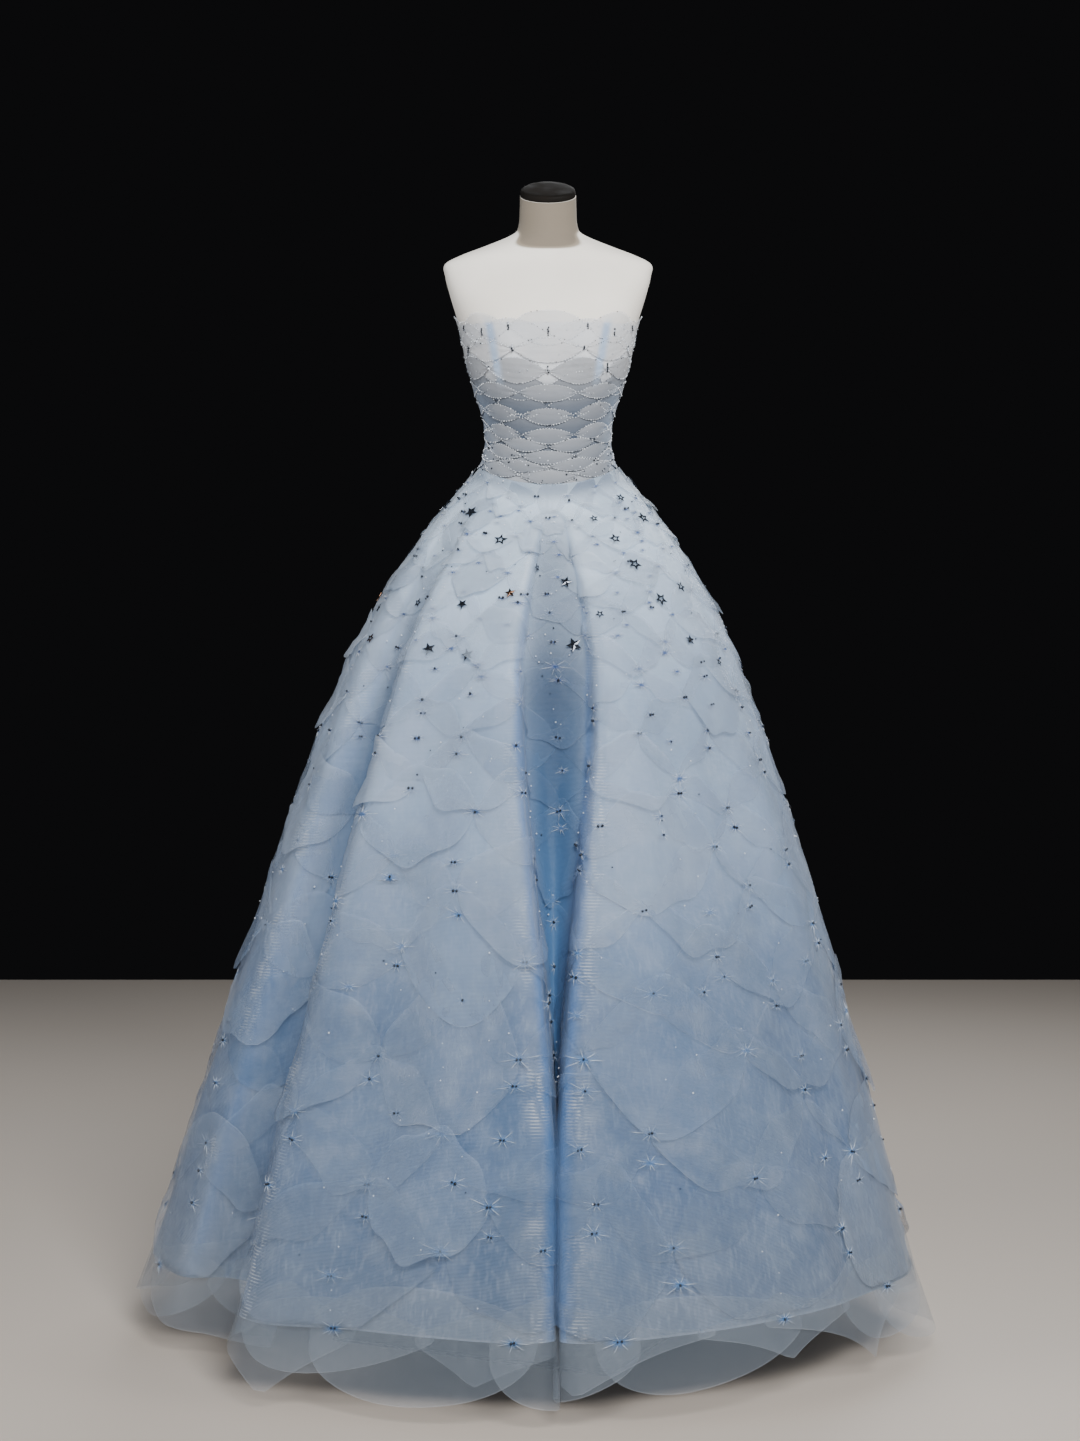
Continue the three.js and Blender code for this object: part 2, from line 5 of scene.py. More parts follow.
import bpy
import numpy as np
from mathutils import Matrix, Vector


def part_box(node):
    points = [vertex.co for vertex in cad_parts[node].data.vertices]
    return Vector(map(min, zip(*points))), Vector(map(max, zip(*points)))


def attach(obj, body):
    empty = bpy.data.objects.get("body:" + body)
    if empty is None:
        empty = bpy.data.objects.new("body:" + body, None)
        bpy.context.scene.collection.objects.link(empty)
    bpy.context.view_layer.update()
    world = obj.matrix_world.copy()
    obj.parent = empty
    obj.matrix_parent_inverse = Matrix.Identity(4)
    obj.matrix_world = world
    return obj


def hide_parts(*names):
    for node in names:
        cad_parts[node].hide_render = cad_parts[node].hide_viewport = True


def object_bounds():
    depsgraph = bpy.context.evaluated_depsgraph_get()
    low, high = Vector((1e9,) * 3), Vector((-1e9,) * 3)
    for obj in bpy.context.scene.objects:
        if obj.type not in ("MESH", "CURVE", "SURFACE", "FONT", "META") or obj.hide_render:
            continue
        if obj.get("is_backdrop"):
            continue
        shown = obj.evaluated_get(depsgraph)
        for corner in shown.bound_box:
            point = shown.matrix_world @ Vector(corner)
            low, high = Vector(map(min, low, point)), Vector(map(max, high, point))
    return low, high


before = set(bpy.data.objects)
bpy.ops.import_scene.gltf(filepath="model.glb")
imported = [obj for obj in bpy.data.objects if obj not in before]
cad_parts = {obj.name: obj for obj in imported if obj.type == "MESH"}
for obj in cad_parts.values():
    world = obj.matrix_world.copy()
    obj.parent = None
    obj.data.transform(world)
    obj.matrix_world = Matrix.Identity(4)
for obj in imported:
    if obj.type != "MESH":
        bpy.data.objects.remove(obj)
cad_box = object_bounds()

# Place of the pole's axis in the frame
pole_low, pole_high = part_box("stand_pole")
AXIS = np.array([(pole_low[0] + pole_high[0]) / 2, (pole_low[1] + pole_high[1]) / 2, 0.0])

# Heights above the floor, mm
FORM_FOOT = 1215
WAIST_SEAM = {"front": 1466, "side": 1498, "back": 1478}
NECKLINE = {"front": 1752, "side": 1752, "back": 1722}
HEM = 128
PETAL_FOOT = 22
FORM_GAP = 0.6

# Dress form: half width, reach to the front and back, exponent of the section, slope of the ring
FORM_RINGS = np.array([
    # z, half, front, back, square, tilt
    (1215, 148, 96, 106, 0.95, 0),
    (1290, 158, 103, 118, 0.95, 0),
    (1370, 155, 104, 120, 0.95, 0),
    (1430, 143, 101, 112, 0.95, 0),
    (1482, 125, 95, 98, 0.95, 0),
    (1514, 111, 90, 88, 0.95, 0),
    (1546, 106, 88, 84, 0.95, 0),
    (1586, 111, 93, 88, 0.95, 0),
    (1632, 126, 102, 95, 0.92, 0),
    (1670, 137, 111, 99, 0.9, 0),
    (1704, 145, 117, 102, 0.88, 0),
    (1736, 152, 114, 104, 0.84, 0),
    (1764, 161, 106, 105, 0.8, 0),
    (1800, 172, 90, 101, 0.72, 0),
    (1832, 180, 70, 88, 0.66, 0),
    (1852, 180, 58, 76, 0.66, 0),
    (1868, 151, 54, 70, 0.7, 0.03),
    (1884, 111, 50, 66, 0.8, 0.1),
    (1905, 61, 46, 62, 0.95, 0.22),
    (1918, 52, 43, 60, 1, 0.28),
    (1950, 49.5, 42, 59, 1, 0.36),
    (1971, 49, 42, 59, 1, 0.42),
])
CUP = {"angle": 27, "spread": 19, "height": 1700, "fall": 46, "rise": 13}

# Skirt: reach at the sides, lean to the right side, depth as a share of the width
SKIRT_PROFILE = np.array([
    # z, reach, lean
    (1498, 121, 0),
    (1462, 146, 0),
    (1440, 165, 0),
    (1398, 201, 0),
    (1342, 239, 0),
    (1290, 273, -1),
    (1186, 326, -4),
    (1029, 386, -7),
    (871, 440, -10),
    (659, 508, -13),
    (395, 584, -18),
    (128, 660, -22),
    (0, 700, -24),
])
SKIRT_DEPTH = np.array([(1498, 0.77), (1440, 0.8), (1342, 0.88), (1186, 0.95), (871, 0.99), (0, 1)])
# Folds: angles in degrees round from the front, rises and depth as shares of the reach
FOLDS = [
    # valley, open low, open high, rise low, rise high, depth, closes
    (3, 10, 10, 0.02, 0.03, 0.2, True),
    (85, 9, 9, 0.02, 0, 0.14, False),
    (119, 9, 9, 0.01, 0.01, 0.13, False),
    (152, 9, 9, 0.01, 0.02, 0.14, False),
    (184, 9, 9, 0.02, 0.02, 0.14, False),
    (221, 9, 9, 0.02, 0.01, 0.14, False),
    (261, 10, 10, 0.01, 0.01, 0.13, False),
    (310, 16, 7, 0, 0.07, 0.18, False),
]
# By height: the folds' strength, and how wide and how deep the closing fold is
FOLD_RAMP = np.array([(1445, 0), (1390, 0.18), (1290, 0.55), (1130, 0.85), (870, 1), (0, 0.95)])
CLOSING = np.array([(1445, 0.7), (1290, 1.15), (1160, 1.2), (1050, 1.05), (930, 0.82), (786, 0.55),
                    (650, 0.34), (530, 0.22), (400, 0.13), (0, 0.1)])
SHALLOWING = np.array([(650, 1), (300, 0.7), (0, 0.5)])
FRONT_FOLD = 25  # degrees from the valley of the front fold to where it surely ends
# A fold's side: degrees round its lip, then shares of the fold's width and depth
LIP_SPAN = 5
LIP_DROP = 0.14
WALL_OPEN = 0.84
WALL_DEPTH = 0.66


# Surfaces

def at_height(table, z, column=1):
    return np.interp(z, table[::-1, 0], table[::-1, column])


def smoothstep(value, low, high):
    t = np.clip((value - low) / (high - low), 0, 1)
    return t * t * (3 - 2 * t)


def turned(degrees, start):
    """How far degrees lies round from start, between -180 and 180."""
    return (degrees - start + 540) % 360 - 180


def whole_turn(count):
    """Evenly spaced angles, once round."""
    return np.linspace(0, 2 * math.pi, count, endpoint=False)


def unit(vectors):
    return vectors / np.maximum(np.linalg.norm(vectors, axis=-1, keepdims=True), 1e-9)


def round_the_body(heights, angle):
    forward = np.cos(angle)
    end = np.where(forward > 0, heights["front"], heights["back"])
    return heights["side"] + (end - heights["side"]) * forward ** 2


def form_size(z, column):
    """A size of the form at heights z, on a smooth curve through the table."""
    zs, values = FORM_RINGS[:, 0], FORM_RINGS[:, column]
    slopes = np.empty(len(zs))
    slopes[1:-1] = (values[2:] - values[:-2]) / (zs[2:] - zs[:-2])
    slopes[0] = (values[1] - values[0]) / (zs[1] - zs[0])
    slopes[-1] = (values[-1] - values[-2]) / (zs[-1] - zs[-2])
    k = np.clip(np.searchsorted(zs, z), 1, len(zs) - 1)
    span = zs[k] - zs[k - 1]
    t = (z - zs[k - 1]) / span
    rise = t * t * (3 - 2 * t)
    bend = span * (slopes[k - 1] * t * (1 - t) ** 2 - slopes[k] * t * t * (1 - t))
    return values[k - 1] + (values[k] - values[k - 1]) * rise + bend


def form_point(angle, z):
    angle, z = np.broadcast_arrays(np.asarray(angle, float), np.asarray(z, float))
    side, forward = np.sin(angle), np.cos(angle)
    square = form_size(z, 4)
    x = form_size(z, 1) * np.sign(side) * np.abs(side) ** square
    reach = np.where(forward > 0, form_size(z, 2), form_size(z, 3))
    y = -reach * np.sign(forward) * np.abs(forward) ** square
    degrees = np.degrees(np.arcsin(np.clip(np.abs(side), 0, 1)))
    across = np.exp(-((degrees - CUP["angle"]) / CUP["spread"]) ** 2)
    along = np.exp(-((z - CUP["height"]) / CUP["fall"]) ** 2)
    y = y - np.where(forward > 0, CUP["rise"] * across * along, 0)
    return np.stack([x, y, z + form_size(z, 5) * y], -1)


def off_form(angle, z, outward):
    step = 0.02
    across = form_point(angle + step, z) - form_point(angle - step, z)
    normal = unit(np.stack([across[..., 1], -across[..., 0], 0 * across[..., 0]], -1))
    return form_point(angle, z) + normal * np.asarray(outward)[..., None]


def section_corners(z):
    reach = at_height(SKIRT_PROFILE, z)
    lean = at_height(SKIRT_PROFILE, z, 2)
    share = at_height(SKIRT_DEPTH, z)
    ramp = at_height(FOLD_RAMP, z)

    def corner(degrees, radius):
        angle = math.radians(degrees)
        along = reach * radius
        return (lean + along * math.sin(angle), -share * along * math.cos(angle))

    corners = []
    for k, (valley, open_low, open_high, rise_low, rise_high, full, closes) in enumerate(FOLDS):
        width = at_height(CLOSING, z) if closes else 1
        depth = full * ramp * (at_height(SHALLOWING, z) if closes else 1)

        def side(opening, rise, way):
            lip = 1 + rise * ramp
            return [
                corner(valley + way * opening * WALL_OPEN, 1 - depth * WALL_DEPTH),
                corner(valley + way * opening, lip - depth * LIP_DROP),
                corner(valley + way * (opening + LIP_SPAN), lip),
            ]

        corners += side(open_low * width, rise_low, -1)[::-1]
        corners.append(corner(valley, 1 - depth))
        corners += side(open_high * width, rise_high, 1)
        following = FOLDS[(k + 1) % len(FOLDS)]
        following_width = at_height(CLOSING, z) if following[6] else 1
        start = valley + open_high * width + LIP_SPAN
        end = following[0] + (360 if k == len(FOLDS) - 1 else 0) - following[1] * following_width - LIP_SPAN
        for part in ((0.33, 0.67) if end - start > 30 else (0.5,)):
            corners.append(corner(start + (end - start) * part, 1))
    return np.array(corners[3:] + corners[:3])


def section(z, count):
    """Evenly spaced points round the skirt at height z; the first is at the floor of the front fold."""
    p1 = section_corners(z)
    p0, p2, p3 = np.roll(p1, 1, 0), np.roll(p1, -1, 0), np.roll(p1, -2, 0)
    length = lambda a, b: np.linalg.norm(a - b, axis=1)[:, None] ** 0.5
    d1 = length(p1, p2)
    d1 = np.where(d1 < 1e-4, 1.0, d1)
    d0, d2 = (np.where(d < 1e-4, d1, d) for d in (length(p0, p1), length(p2, p3)))
    t1 = ((p1 - p0) / d0 - (p2 - p0) / (d0 + d1) + (p2 - p1) / d1) * d1
    t2 = ((p2 - p1) / d1 - (p3 - p1) / (d1 + d2) + (p3 - p2) / d2) * d1
    t = np.linspace(0, 1, 24, endpoint=False)[None, :, None]
    a, b, c, d = p1, t1, -3 * p1 + 3 * p2 - 2 * t1 - t2, 2 * p1 - 2 * p2 + t1 + t2
    curve = (a[:, None] + b[:, None] * t + c[:, None] * t ** 2 + d[:, None] * t ** 3).reshape(-1, 2)
    curve = np.vstack([curve, curve[:1]])
    run = np.concatenate([[0], np.cumsum(np.linalg.norm(np.diff(curve, axis=0), axis=1))])
    at = np.linspace(0, run[-1], count, endpoint=False)
    return np.stack([np.interp(at, run, curve[:, 0]), np.interp(at, run, curve[:, 1])], -1), run[-1]


AROUND = 1440
DOWN = 420


class SkirtSurface:
    """The skirt's folded surface. u runs once round from the front fold, s is millimetres down the side."""

    def __init__(self):
        z = np.arange(WAIST_SEAM["side"], 9, -1.0)
        reach = at_height(SKIRT_PROFILE, z)
        run = np.concatenate([[0], np.cumsum(np.hypot(1, np.diff(reach)))])
        self.length = run[-1]
        self.hem = np.interp(HEM, z[::-1], run[::-1])
        self.z_of = lambda s: np.interp(s, run, z)
        self.s_of = lambda height: np.interp(height, z[::-1], run[::-1])
        steps = np.linspace(0, self.length, DOWN)
        rings, self.path = [], []
        for s in steps:
            height = self.z_of(s)
            flat, path = section(height, AROUND)
            angle = np.arctan2(flat[:, 0], -flat[:, 1])
            fade = smoothstep(height, 1150, WAIST_SEAM["side"])
            dip = (round_the_body(WAIST_SEAM, angle) - WAIST_SEAM["side"]) * fade
            rings.append(np.column_stack([flat, height + dip]))
            self.path.append(path)
        self.path = np.array(self.path)
        waist_angle = np.arctan2(rings[0][:, 0], -rings[0][:, 1])
        waist = off_form(waist_angle, round_the_body(WAIST_SEAM, waist_angle) - 0.6, np.full(AROUND, 1.3))
        seat = np.searchsorted(steps, 30)
        for i in range(seat):
            rings[i] = waist + (rings[seat] - waist) * (steps[i] / steps[seat])
        self.points = np.array(rings)
        self.points = self.points + self.facing() * self.ripples(steps)[..., None]
        self.normals = self.facing()
        height = self.points[..., 2]
        x = self.points[..., 0] - at_height(SKIRT_PROFILE, height, 2)
        y = -self.points[..., 1]
        depth = 1 - np.hypot(x, y / at_height(SKIRT_DEPTH, height)) / at_height(SKIRT_PROFILE, height)
        ramp = at_height(FOLD_RAMP, height)
        # How deep a point lies in a fold: it paints the folds' deeper blue, partly for layers seen edge-on
        # and partly as painted shade
        self.inside = smoothstep(depth, 0.02, 0.19) ** 1.5 * smoothstep(ramp, 0.05, 0.4)
        # The other folds are shallower than the front one, so their painted blue and shade are weaker, and
        # weaker still low down, where they are pale
        degrees = np.degrees(np.arctan2(x, y)) % 360
        side_fold = 0.12 + 0.68 * smoothstep(height, 600, 1000)
        self.inside = self.inside * np.where(np.abs(turned(degrees, FOLDS[0][0])) < FRONT_FOLD, 1, side_fold)
        # The lip is the rounded edge of a fold, where the painted glints go, and the brim the line just
        # inside it, painted blue, partly for layers seen edge-on and partly as painted shade under the lip
        self.lip, self.brim = np.zeros(degrees.shape), np.zeros(degrees.shape)
        for valley, open_low, open_high, _, _, _, closes in FOLDS:
            offset = turned(degrees, valley)
            width = at_height(CLOSING, height) if closes else 1
            outside = np.abs(offset) - np.where(offset > 0, open_high, open_low) * width
            self.lip = np.maximum(self.lip, np.exp(-((outside - 1.6) / 1.5) ** 2))
            weight = 1.0 if closes else 0.35
            self.brim = np.maximum(self.brim, weight * np.exp(-((outside + 0.2) / 0.8) ** 2))
        self.lip, self.brim = self.lip * ramp, self.brim * ramp

    def facing(self):
        down = np.gradient(self.points, axis=0)
        across = np.roll(self.points, -1, 1) - np.roll(self.points, 1, 1)
        return unit(np.cross(down, across))

    def ripples(self, steps):
        """Soft upright waves of the cloth between the deep folds, in mm, that start under the waist."""
        turn = whole_turn(AROUND)[None, :]
        run = steps[:, None] / self.length
        waves = (np.sin(15 * turn + 2.2 * np.sin(2 * turn + 3 * run)) + 0.7 * np.sin(23 * turn - 4 * run + 1)
                 + 0.5 * np.sin(9 * turn + 7 * run + 2))
        return 4.5 * waves * smoothstep(run, 0.08, 0.45)

    def _weights(self, u, s):
        column = (np.asarray(u) % 1) * AROUND
        row = np.clip(np.asarray(s) / self.length, 0, 1) * (DOWN - 1)
        j, i = np.floor(column).astype(int), np.minimum(np.floor(row).astype(int), DOWN - 2)
        return i, j % AROUND, (j + 1) % AROUND, row - i, column - j

    def read(self, grid, u, s):
        i, j, k, p, q = self._weights(u, s)
        if grid.ndim == 3:
            p, q = p[..., None], q[..., None]
        top = grid[i, j] * (1 - q) + grid[i, k] * q
        foot = grid[i + 1, j] * (1 - q) + grid[i + 1, k] * q
        return top * (1 - p) + foot * p

    def place(self, u, s, outward):
        normal = unit(self.read(self.normals, u, s))
        return self.read(self.points, u, s) + normal * np.asarray(outward)[..., None]

    def edges(self, u, s):
        """The two paints of a fold's edge, for a piece that lies on the skirt."""
        return {"lip": self.read(self.lip, u, s), "brim": self.read(self.brim, u, s)}

    def path_at(self, s):
        return np.interp(s, np.linspace(0, self.length, DOWN), self.path)


skirt = SkirtSurface()


def bodice_place(turn, down, outward):
    """A point on the bodice: turn is once round from the front, down is 0 at the neckline, 1 at the waist."""
    angle = np.asarray(turn) * 2 * math.pi
    z = round_the_body(NECKLINE, angle) * (1 - down) + round_the_body(WAIST_SEAM, angle) * down
    return off_form(angle, z, FORM_GAP + np.asarray(outward))


# Meshes

class Weaver:
    """Collects grids of points, in millimetres, with values painted on them, into one mesh."""

    def __init__(self, *paints):
        self.points, self.faces, self.count = [], [], 0
        self.paints = {name: [] for name in paints}

    def grid(self, points, wrap=False, **paints):
        rows, columns = points.shape[:2]
        index = np.arange(rows * columns).reshape(rows, columns) + self.count
        if wrap:
            index = np.hstack([index, index[:, :1]])
        quads = np.stack([index[:-1, :-1], index[1:, :-1], index[1:, 1:], index[:-1, 1:]], -1)
        self.faces.append(quads.reshape(-1, 4))
        self.points.append(points.reshape(-1, 3))
        self.count += rows * columns
        for name, values in self.paints.items():
            values.append(np.broadcast_to(paints.get(name, 0.0), (rows, columns)).reshape(-1).astype(float))

    def piece(self, name, material, slot, smooth=True):
        points = np.concatenate(self.points) / 1000 + AXIS
        faces = np.concatenate(self.faces)
        mesh = bpy.data.meshes.new(name)
        mesh.vertices.add(len(points))
        mesh.vertices.foreach_set("co", points.ravel())
        mesh.loops.add(faces.size)
        mesh.loops.foreach_set("vertex_index", faces.ravel())
        mesh.polygons.add(len(faces))
        mesh.polygons.foreach_set("loop_start", np.arange(0, faces.size, 4))
        mesh.polygons.foreach_set("use_smooth", np.full(len(faces), smooth))
        for paint, values in self.paints.items():
            layer = mesh.attributes.new(paint, "FLOAT", "POINT")
            layer.data.foreach_set("value", np.concatenate(values))
        mesh.update(calc_edges=True)
        mesh.validate()
        mesh.materials.append(material)
        piece = bpy.data.objects.new(name, mesh)
        bpy.context.scene.collection.objects.link(piece)
        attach(piece, "root")
        return piece


# Materials

# Millimetres from one line to the next in Blender's wave texture at scale 1
WAVE = 314.16


def colour(code):
    """A colour written in hex, as the linear values that shaders take."""
    values = [int(code[i:i + 2], 16) / 255 for i in (1, 3, 5)]
    return tuple(v / 12.92 if v <= 0.04045 else ((v + 0.055) / 1.055) ** 2.4 for v in values) + (1.0,)


class Finish:
    """A material with its shader, the one function that adds a node, and what several finishes share."""

    def __init__(self, name, **settings):
        self.material = bpy.data.materials.new(name)
        self.material.use_nodes = True
        self.tree = self.material.node_tree
        self.shader = self.tree.nodes["Principled BSDF"]
        self.join(self.shader, {socket.replace("_", " "): value for socket, value in settings.items()})
        self.place = self.add("TexCoord", "Object")

    def join(self, node, inputs):
        """Sets or links a node's inputs, given by name or in their order."""
        for socket, value in inputs.items() if isinstance(inputs, dict) else enumerate(inputs):
            if isinstance(value, bpy.types.NodeSocket):
                self.tree.links.new(value, node.inputs[socket])
            else:
                node.inputs[socket].default_value = value

    def add(self, kind, output=0, inputs=(), **settings):
        """Adds a node with its settings and links, and gives back one of its outputs."""
        node = self.tree.nodes.new("ShaderNode" + kind)
        for name, value in settings.items():
            setattr(node, name, value)
        self.join(node, inputs)
        return node.outputs[output]

    def uneven(self, size, detail, noise_type="FBM"):
        """An uneven pattern whose patches are size mm across: one number, or one each for x, y and z."""
        sizes = size if isinstance(size, tuple) else (size, size, size)
        place = self.add("Mapping", 0, {"Vector": self.place, "Scale": [1000 / s for s in sizes]})
        inputs = {"Vector": place, "Scale": 1.0, "Detail": detail}
        return self.add("TexNoise", "Fac", inputs, noise_type=noise_type)

    def coat(self, under, code, where, start, full, least, most):
        """A colour laid over another, as strong as least where a pattern is at start and as most at full."""
        strength = self.add("MapRange", 0, (where, start, full, least, most))
        return self.add("Mix", 2, {0: strength, 6: under, 7: colour(code)}, data_type="RGBA")


def organza(name, pale, low, deep, opacity, streaks=0.75, roughness=0.35):
    """Silk organza, a crisp plain weave of hard-twisted thread.

    Pale and softly shiny where it faces out. In a fold it is a deeper blue, partly for layers that stand
    edge-on and partly as painted shade, darkest at the fold's floor. Its colour holds more painted light and
    shade: painted shade that makes it greyer and darker towards the hem, a painted highlight over the hips,
    and painted glints and a blue line of partly painted shade along the folds' edges.
    """
    cloth = Finish(name, Roughness=roughness, Sheen_Weight=0.3, Sheen_Roughness=0.35)
    fold, brim, lip, bar, edge, fade = [cloth.add("Attribute", "Fac", attribute_name=paint)
                                        for paint in ("fold", "brim", "lip", "bar", "edge", "fade")]
    height = cloth.add("SeparateXYZ", "Z", {"Vector": cloth.place})

    # Painted shade: paler towards the waist and darker towards the hem, where less light reaches,
    # with an uneven border
    downward_shade = cloth.add("MapRange", 0, (height, 0.5, 1.42, 1.0, 0.0))
    border = cloth.add("MapRange", 0, (cloth.uneven(222.2, 1), 0.3, 0.7, 0.0, 0.12))
    drop = cloth.add("Math", 0, (downward_shade, border), operation="ADD", use_clamp=True)
    body = cloth.add("Mix", 2, {0: drop, 6: colour(pale), 7: colour(low)}, data_type="RGBA")

    # Layers beneath show through as paler clouds 50 mm across and greyer ones 167 mm across
    body = cloth.coat(body, "#c6d3e2", cloth.uneven(50, 2), 0.45, 0.75, 0, 0.18)
    body = cloth.coat(body, "#6c7f96", cloth.uneven(166.7, 1), 0.45, 0.75, 0, 0.22)
    # Painted shade: greyer over the lowest 0.36 m, at the hem
    body = cloth.coat(body, "#66717e", height, 0.12, 0.36, 0.5, 0)

    # Slubs run up the cloth, drawn 6 mm wide and 42 mm long, coarser than the real 0.5 mm, so that they show
    body = cloth.coat(body, "#dfeaf7", cloth.uneven((5.88, 5.88, 41.67), 1), 0.5, 0.72, 0, 0.09)
    # Creases a hand's width apart, with painted highlights along their crests
    crests = cloth.uneven(181.8, 2, "RIDGED_MULTIFRACTAL")
    body = cloth.coat(body, "#e3edf9", crests, 0.85, 1.5, 0, 0.28)

    # In the folds: a deep blue, partly for layers seen edge-on and partly painted shade, lighter below 1.1 m,
    # and darkest with painted shade at each fold's floor
    hollow = cloth.coat(colour(deep), "#5a90ca", height, 0.75, 1.1, 0.7, 0)
    hollow = cloth.coat(hollow, "#1f3a5c", fold, 0.8, 1, 0, 0.32)
    # Painted highlight: from 1.12 m up, over the hips, the skirt is lightened towards a pale blue
    if streaks:
        body = cloth.coat(body, "#dff0ff", height, 1.12, 1.4, 0, 0.64)
    body = cloth.add("Mix", 2, {0: fold, 6: body, 7: hollow}, data_type="RGBA")
    if streaks:
        # A blue line just inside each fold's edge, partly painted shade under the lip
        body = cloth.coat(body, "#4278bb", brim, 0, 1, 0, 0.6)
        # Painted highlights: short level streaks of near-white along the folded edges, where floated
        # threads catch the light. The real threads are 0.2 mm apart, and the streaks are drawn 5 mm
        # apart so that they show
        lines = {"Vector": cloth.place, "Scale": WAVE / 5.067}
        threads = cloth.add("TexWave", "Fac", lines, bands_direction="Z")
        glints = cloth.add("MapRange", 0, (threads, 0.65, 0.95, 0, streaks))
        broken = cloth.uneven((11.11, 11.11, 33.33), 1)
        broken = cloth.add("MapRange", 0, (broken, 0.45, 0.6, 0, 1))
        patches = cloth.add("MapRange", 0, (cloth.uneven(142.9, 1), 0.42, 0.6, 0, 1))
        for mask in (broken, patches, lip):
            glints = cloth.add("Math", 0, (glints, mask), operation="MULTIPLY", use_clamp=True)
        body = cloth.coat(body, "#f6faff", glints, 0, 1, 0, 1)
    body = cloth.coat(body, "#b9d3f4", bar, 0, 1, 0, 1)
    body = cloth.coat(body, "#eef5fd", edge, 0, 1, 0, 1)
    cloth.join(cloth.shader, {"Base Color": body})

    if opacity < 1:
        firmest = min(1.0, opacity + 0.35)
        firm = cloth.add("MapRange", 0, (edge, 0, 1, opacity, firmest))
        doubled = cloth.add("MapRange", 0, (fold, 0, 1, 0, 0.25))
        solid = cloth.add("Math", 0, (firm, doubled), operation="ADD", use_clamp=True)
        solid = cloth.add("Math", 0, (solid, fade), operation="SUBTRACT", use_clamp=True)
        cloth.join(cloth.shader, {"Alpha": solid})

    # Relief: crinkles 71 mm apart, creases, small crinkles 25 mm apart, and a weave drawn 2 mm apart, coarser
    # than the real 0.2 mm, so that it shows
    lines = {"Vector": cloth.place, "Scale": WAVE / 1.9635}
    weave = cloth.add("TexWave", "Fac", lines, bands_direction="Z")
    relief = 0.0
    for pattern, start, full, most in ((cloth.uneven(71.43, 1), 0, 1, 0.45), (crests, 0.4, 1.8, 0.35),
                                       (cloth.uneven(25, 1), 0, 1, 0.15), (weave, 0, 1, 0.04)):
        part = cloth.add("MapRange", 0, (pattern, start, full, 0, most))
        relief = cloth.add("Math", 0, (part, relief), operation="ADD", use_clamp=True)
    bump = cloth.add("Bump", 0, {"Height": relief, "Distance": 0.014, "Strength": 0.9})
    cloth.join(cloth.shader, {"Normal": bump})
    return cloth.material


def even_weave(name, paler, darker, roughness, thread, **covers):
    """Plain woven cloth or tape: matt, with slight mottling 111 mm across and level threads, spaced in mm.

    Covers are further pieces of cloth, each with the name of its paint and its colour.
    """
    cloth = Finish(name, Roughness=roughness, Sheen_Weight=0.15)
    body = cloth.coat(colour(paler), darker, cloth.uneven(111.1, 4), 0.35, 0.7, 0, 1)
    for paint, code in covers.items():
        cover = cloth.add("Attribute", "Fac", attribute_name=paint)
        body = cloth.coat(body, code, cover, 0, 1, 0, 1)
    lines = {"Vector": cloth.place, "Scale": WAVE / thread}
    weave = cloth.add("TexWave", "Fac", lines, bands_direction="Z")
    bump = cloth.add("Bump", 0, {"Height": weave, "Distance": 0.0003, "Strength": 0.3})
    cloth.join(cloth.shader, {"Base Color": body, "Normal": bump})
    return cloth.material


def hard(name, base, worn, roughness, metallic, grain_size=3.33, **settings):
    """A smooth hard surface, with a grain in mm that makes its colour and its shine slightly uneven."""
    surface = Finish(name, Metallic=metallic, **settings)
    grain = surface.uneven(grain_size, 4)
    shine = (grain, 0.3, 0.7, roughness * 0.8, roughness * 1.25)
    surface.join(surface.shader, {
        "Base Color": surface.coat(colour(base), worn, grain, 0.4, 0.75, 0, 1),
        "Roughness": surface.add("MapRange", 0, shine),
        "Normal": surface.add("Bump", 0, {"Height": grain, "Distance": 0.0002, "Strength": 0.2}),
    })
    return surface.material


def cut_glass(name):
    """Lead crystal, cut and polished: clear bright points of light with a faint blue in their facets."""
    glass = Finish(name, Roughness=0.04, IOR=1.9, Specular_IOR_Level=1.0, Coat_Weight=1.0)
    body = glass.coat(colour("#f4f8ff"), "#dfe9f8", glass.uneven(12.5, 2), 0.4, 0.6, 0, 1)
    glass.join(glass.shader, {"Base Color": body})
    return glass.material


# Opaque ground of the skirt: the blue that the petals are seen against
UNDERSKIRT = organza("organza_underskirt", "#bdd6f2", "#4c658a", "#203a58", 1.0)
# See-through petals: a pale veil that grows milky where they overlap
PETAL = organza("organza_petal", "#cfe3fb", "#6a84a8", "#375780", 0.36)
# Cloth gathered at a stitch: nearly opaque, pleats painted whitish as highlights round a dimple of deep blue
# painted shade
PINCH = organza("organza_pinched", "#eaf3fd", "#d5e6f8", "#1f4d92", 0.95, 0.01)
# Petals under the hem: the thinnest veil, grey against the floor's shadow
HEM_PETAL = organza("organza_hem_petal", "#c3d2e4", "#b4c4d8", "#7d98b8", 0.26, 0)
# Doubled cloth of the bodice's lenses: milky white, duller than the skirt
LENS = organza("organza_lens", "#f2f4f8", "#c3ccd6", "#3c4a5c", 0.82, 0, 0.6)
# Opaque cloth under the lenses: greyer and bluer in the gaps
BODICE_GROUND = organza("organza_bodice", "#eaeef4", "#98a2ad", "#37465a", 1.0, 0, 0.65)
# Bleached linen pulled tight over the form, matt off-white, with a darker, browner neck above its seam
LINEN = even_weave("form_linen", "#faf6ee", "#f3eee5", 0.85, 0.748, neck="#797063", seam="#8d8272")
# Woven polyester tape, a little darker than the bodice
TAPE = even_weave("zip_tape", "#bfcbd9", "#b2c0d0", 0.7, 0.628)
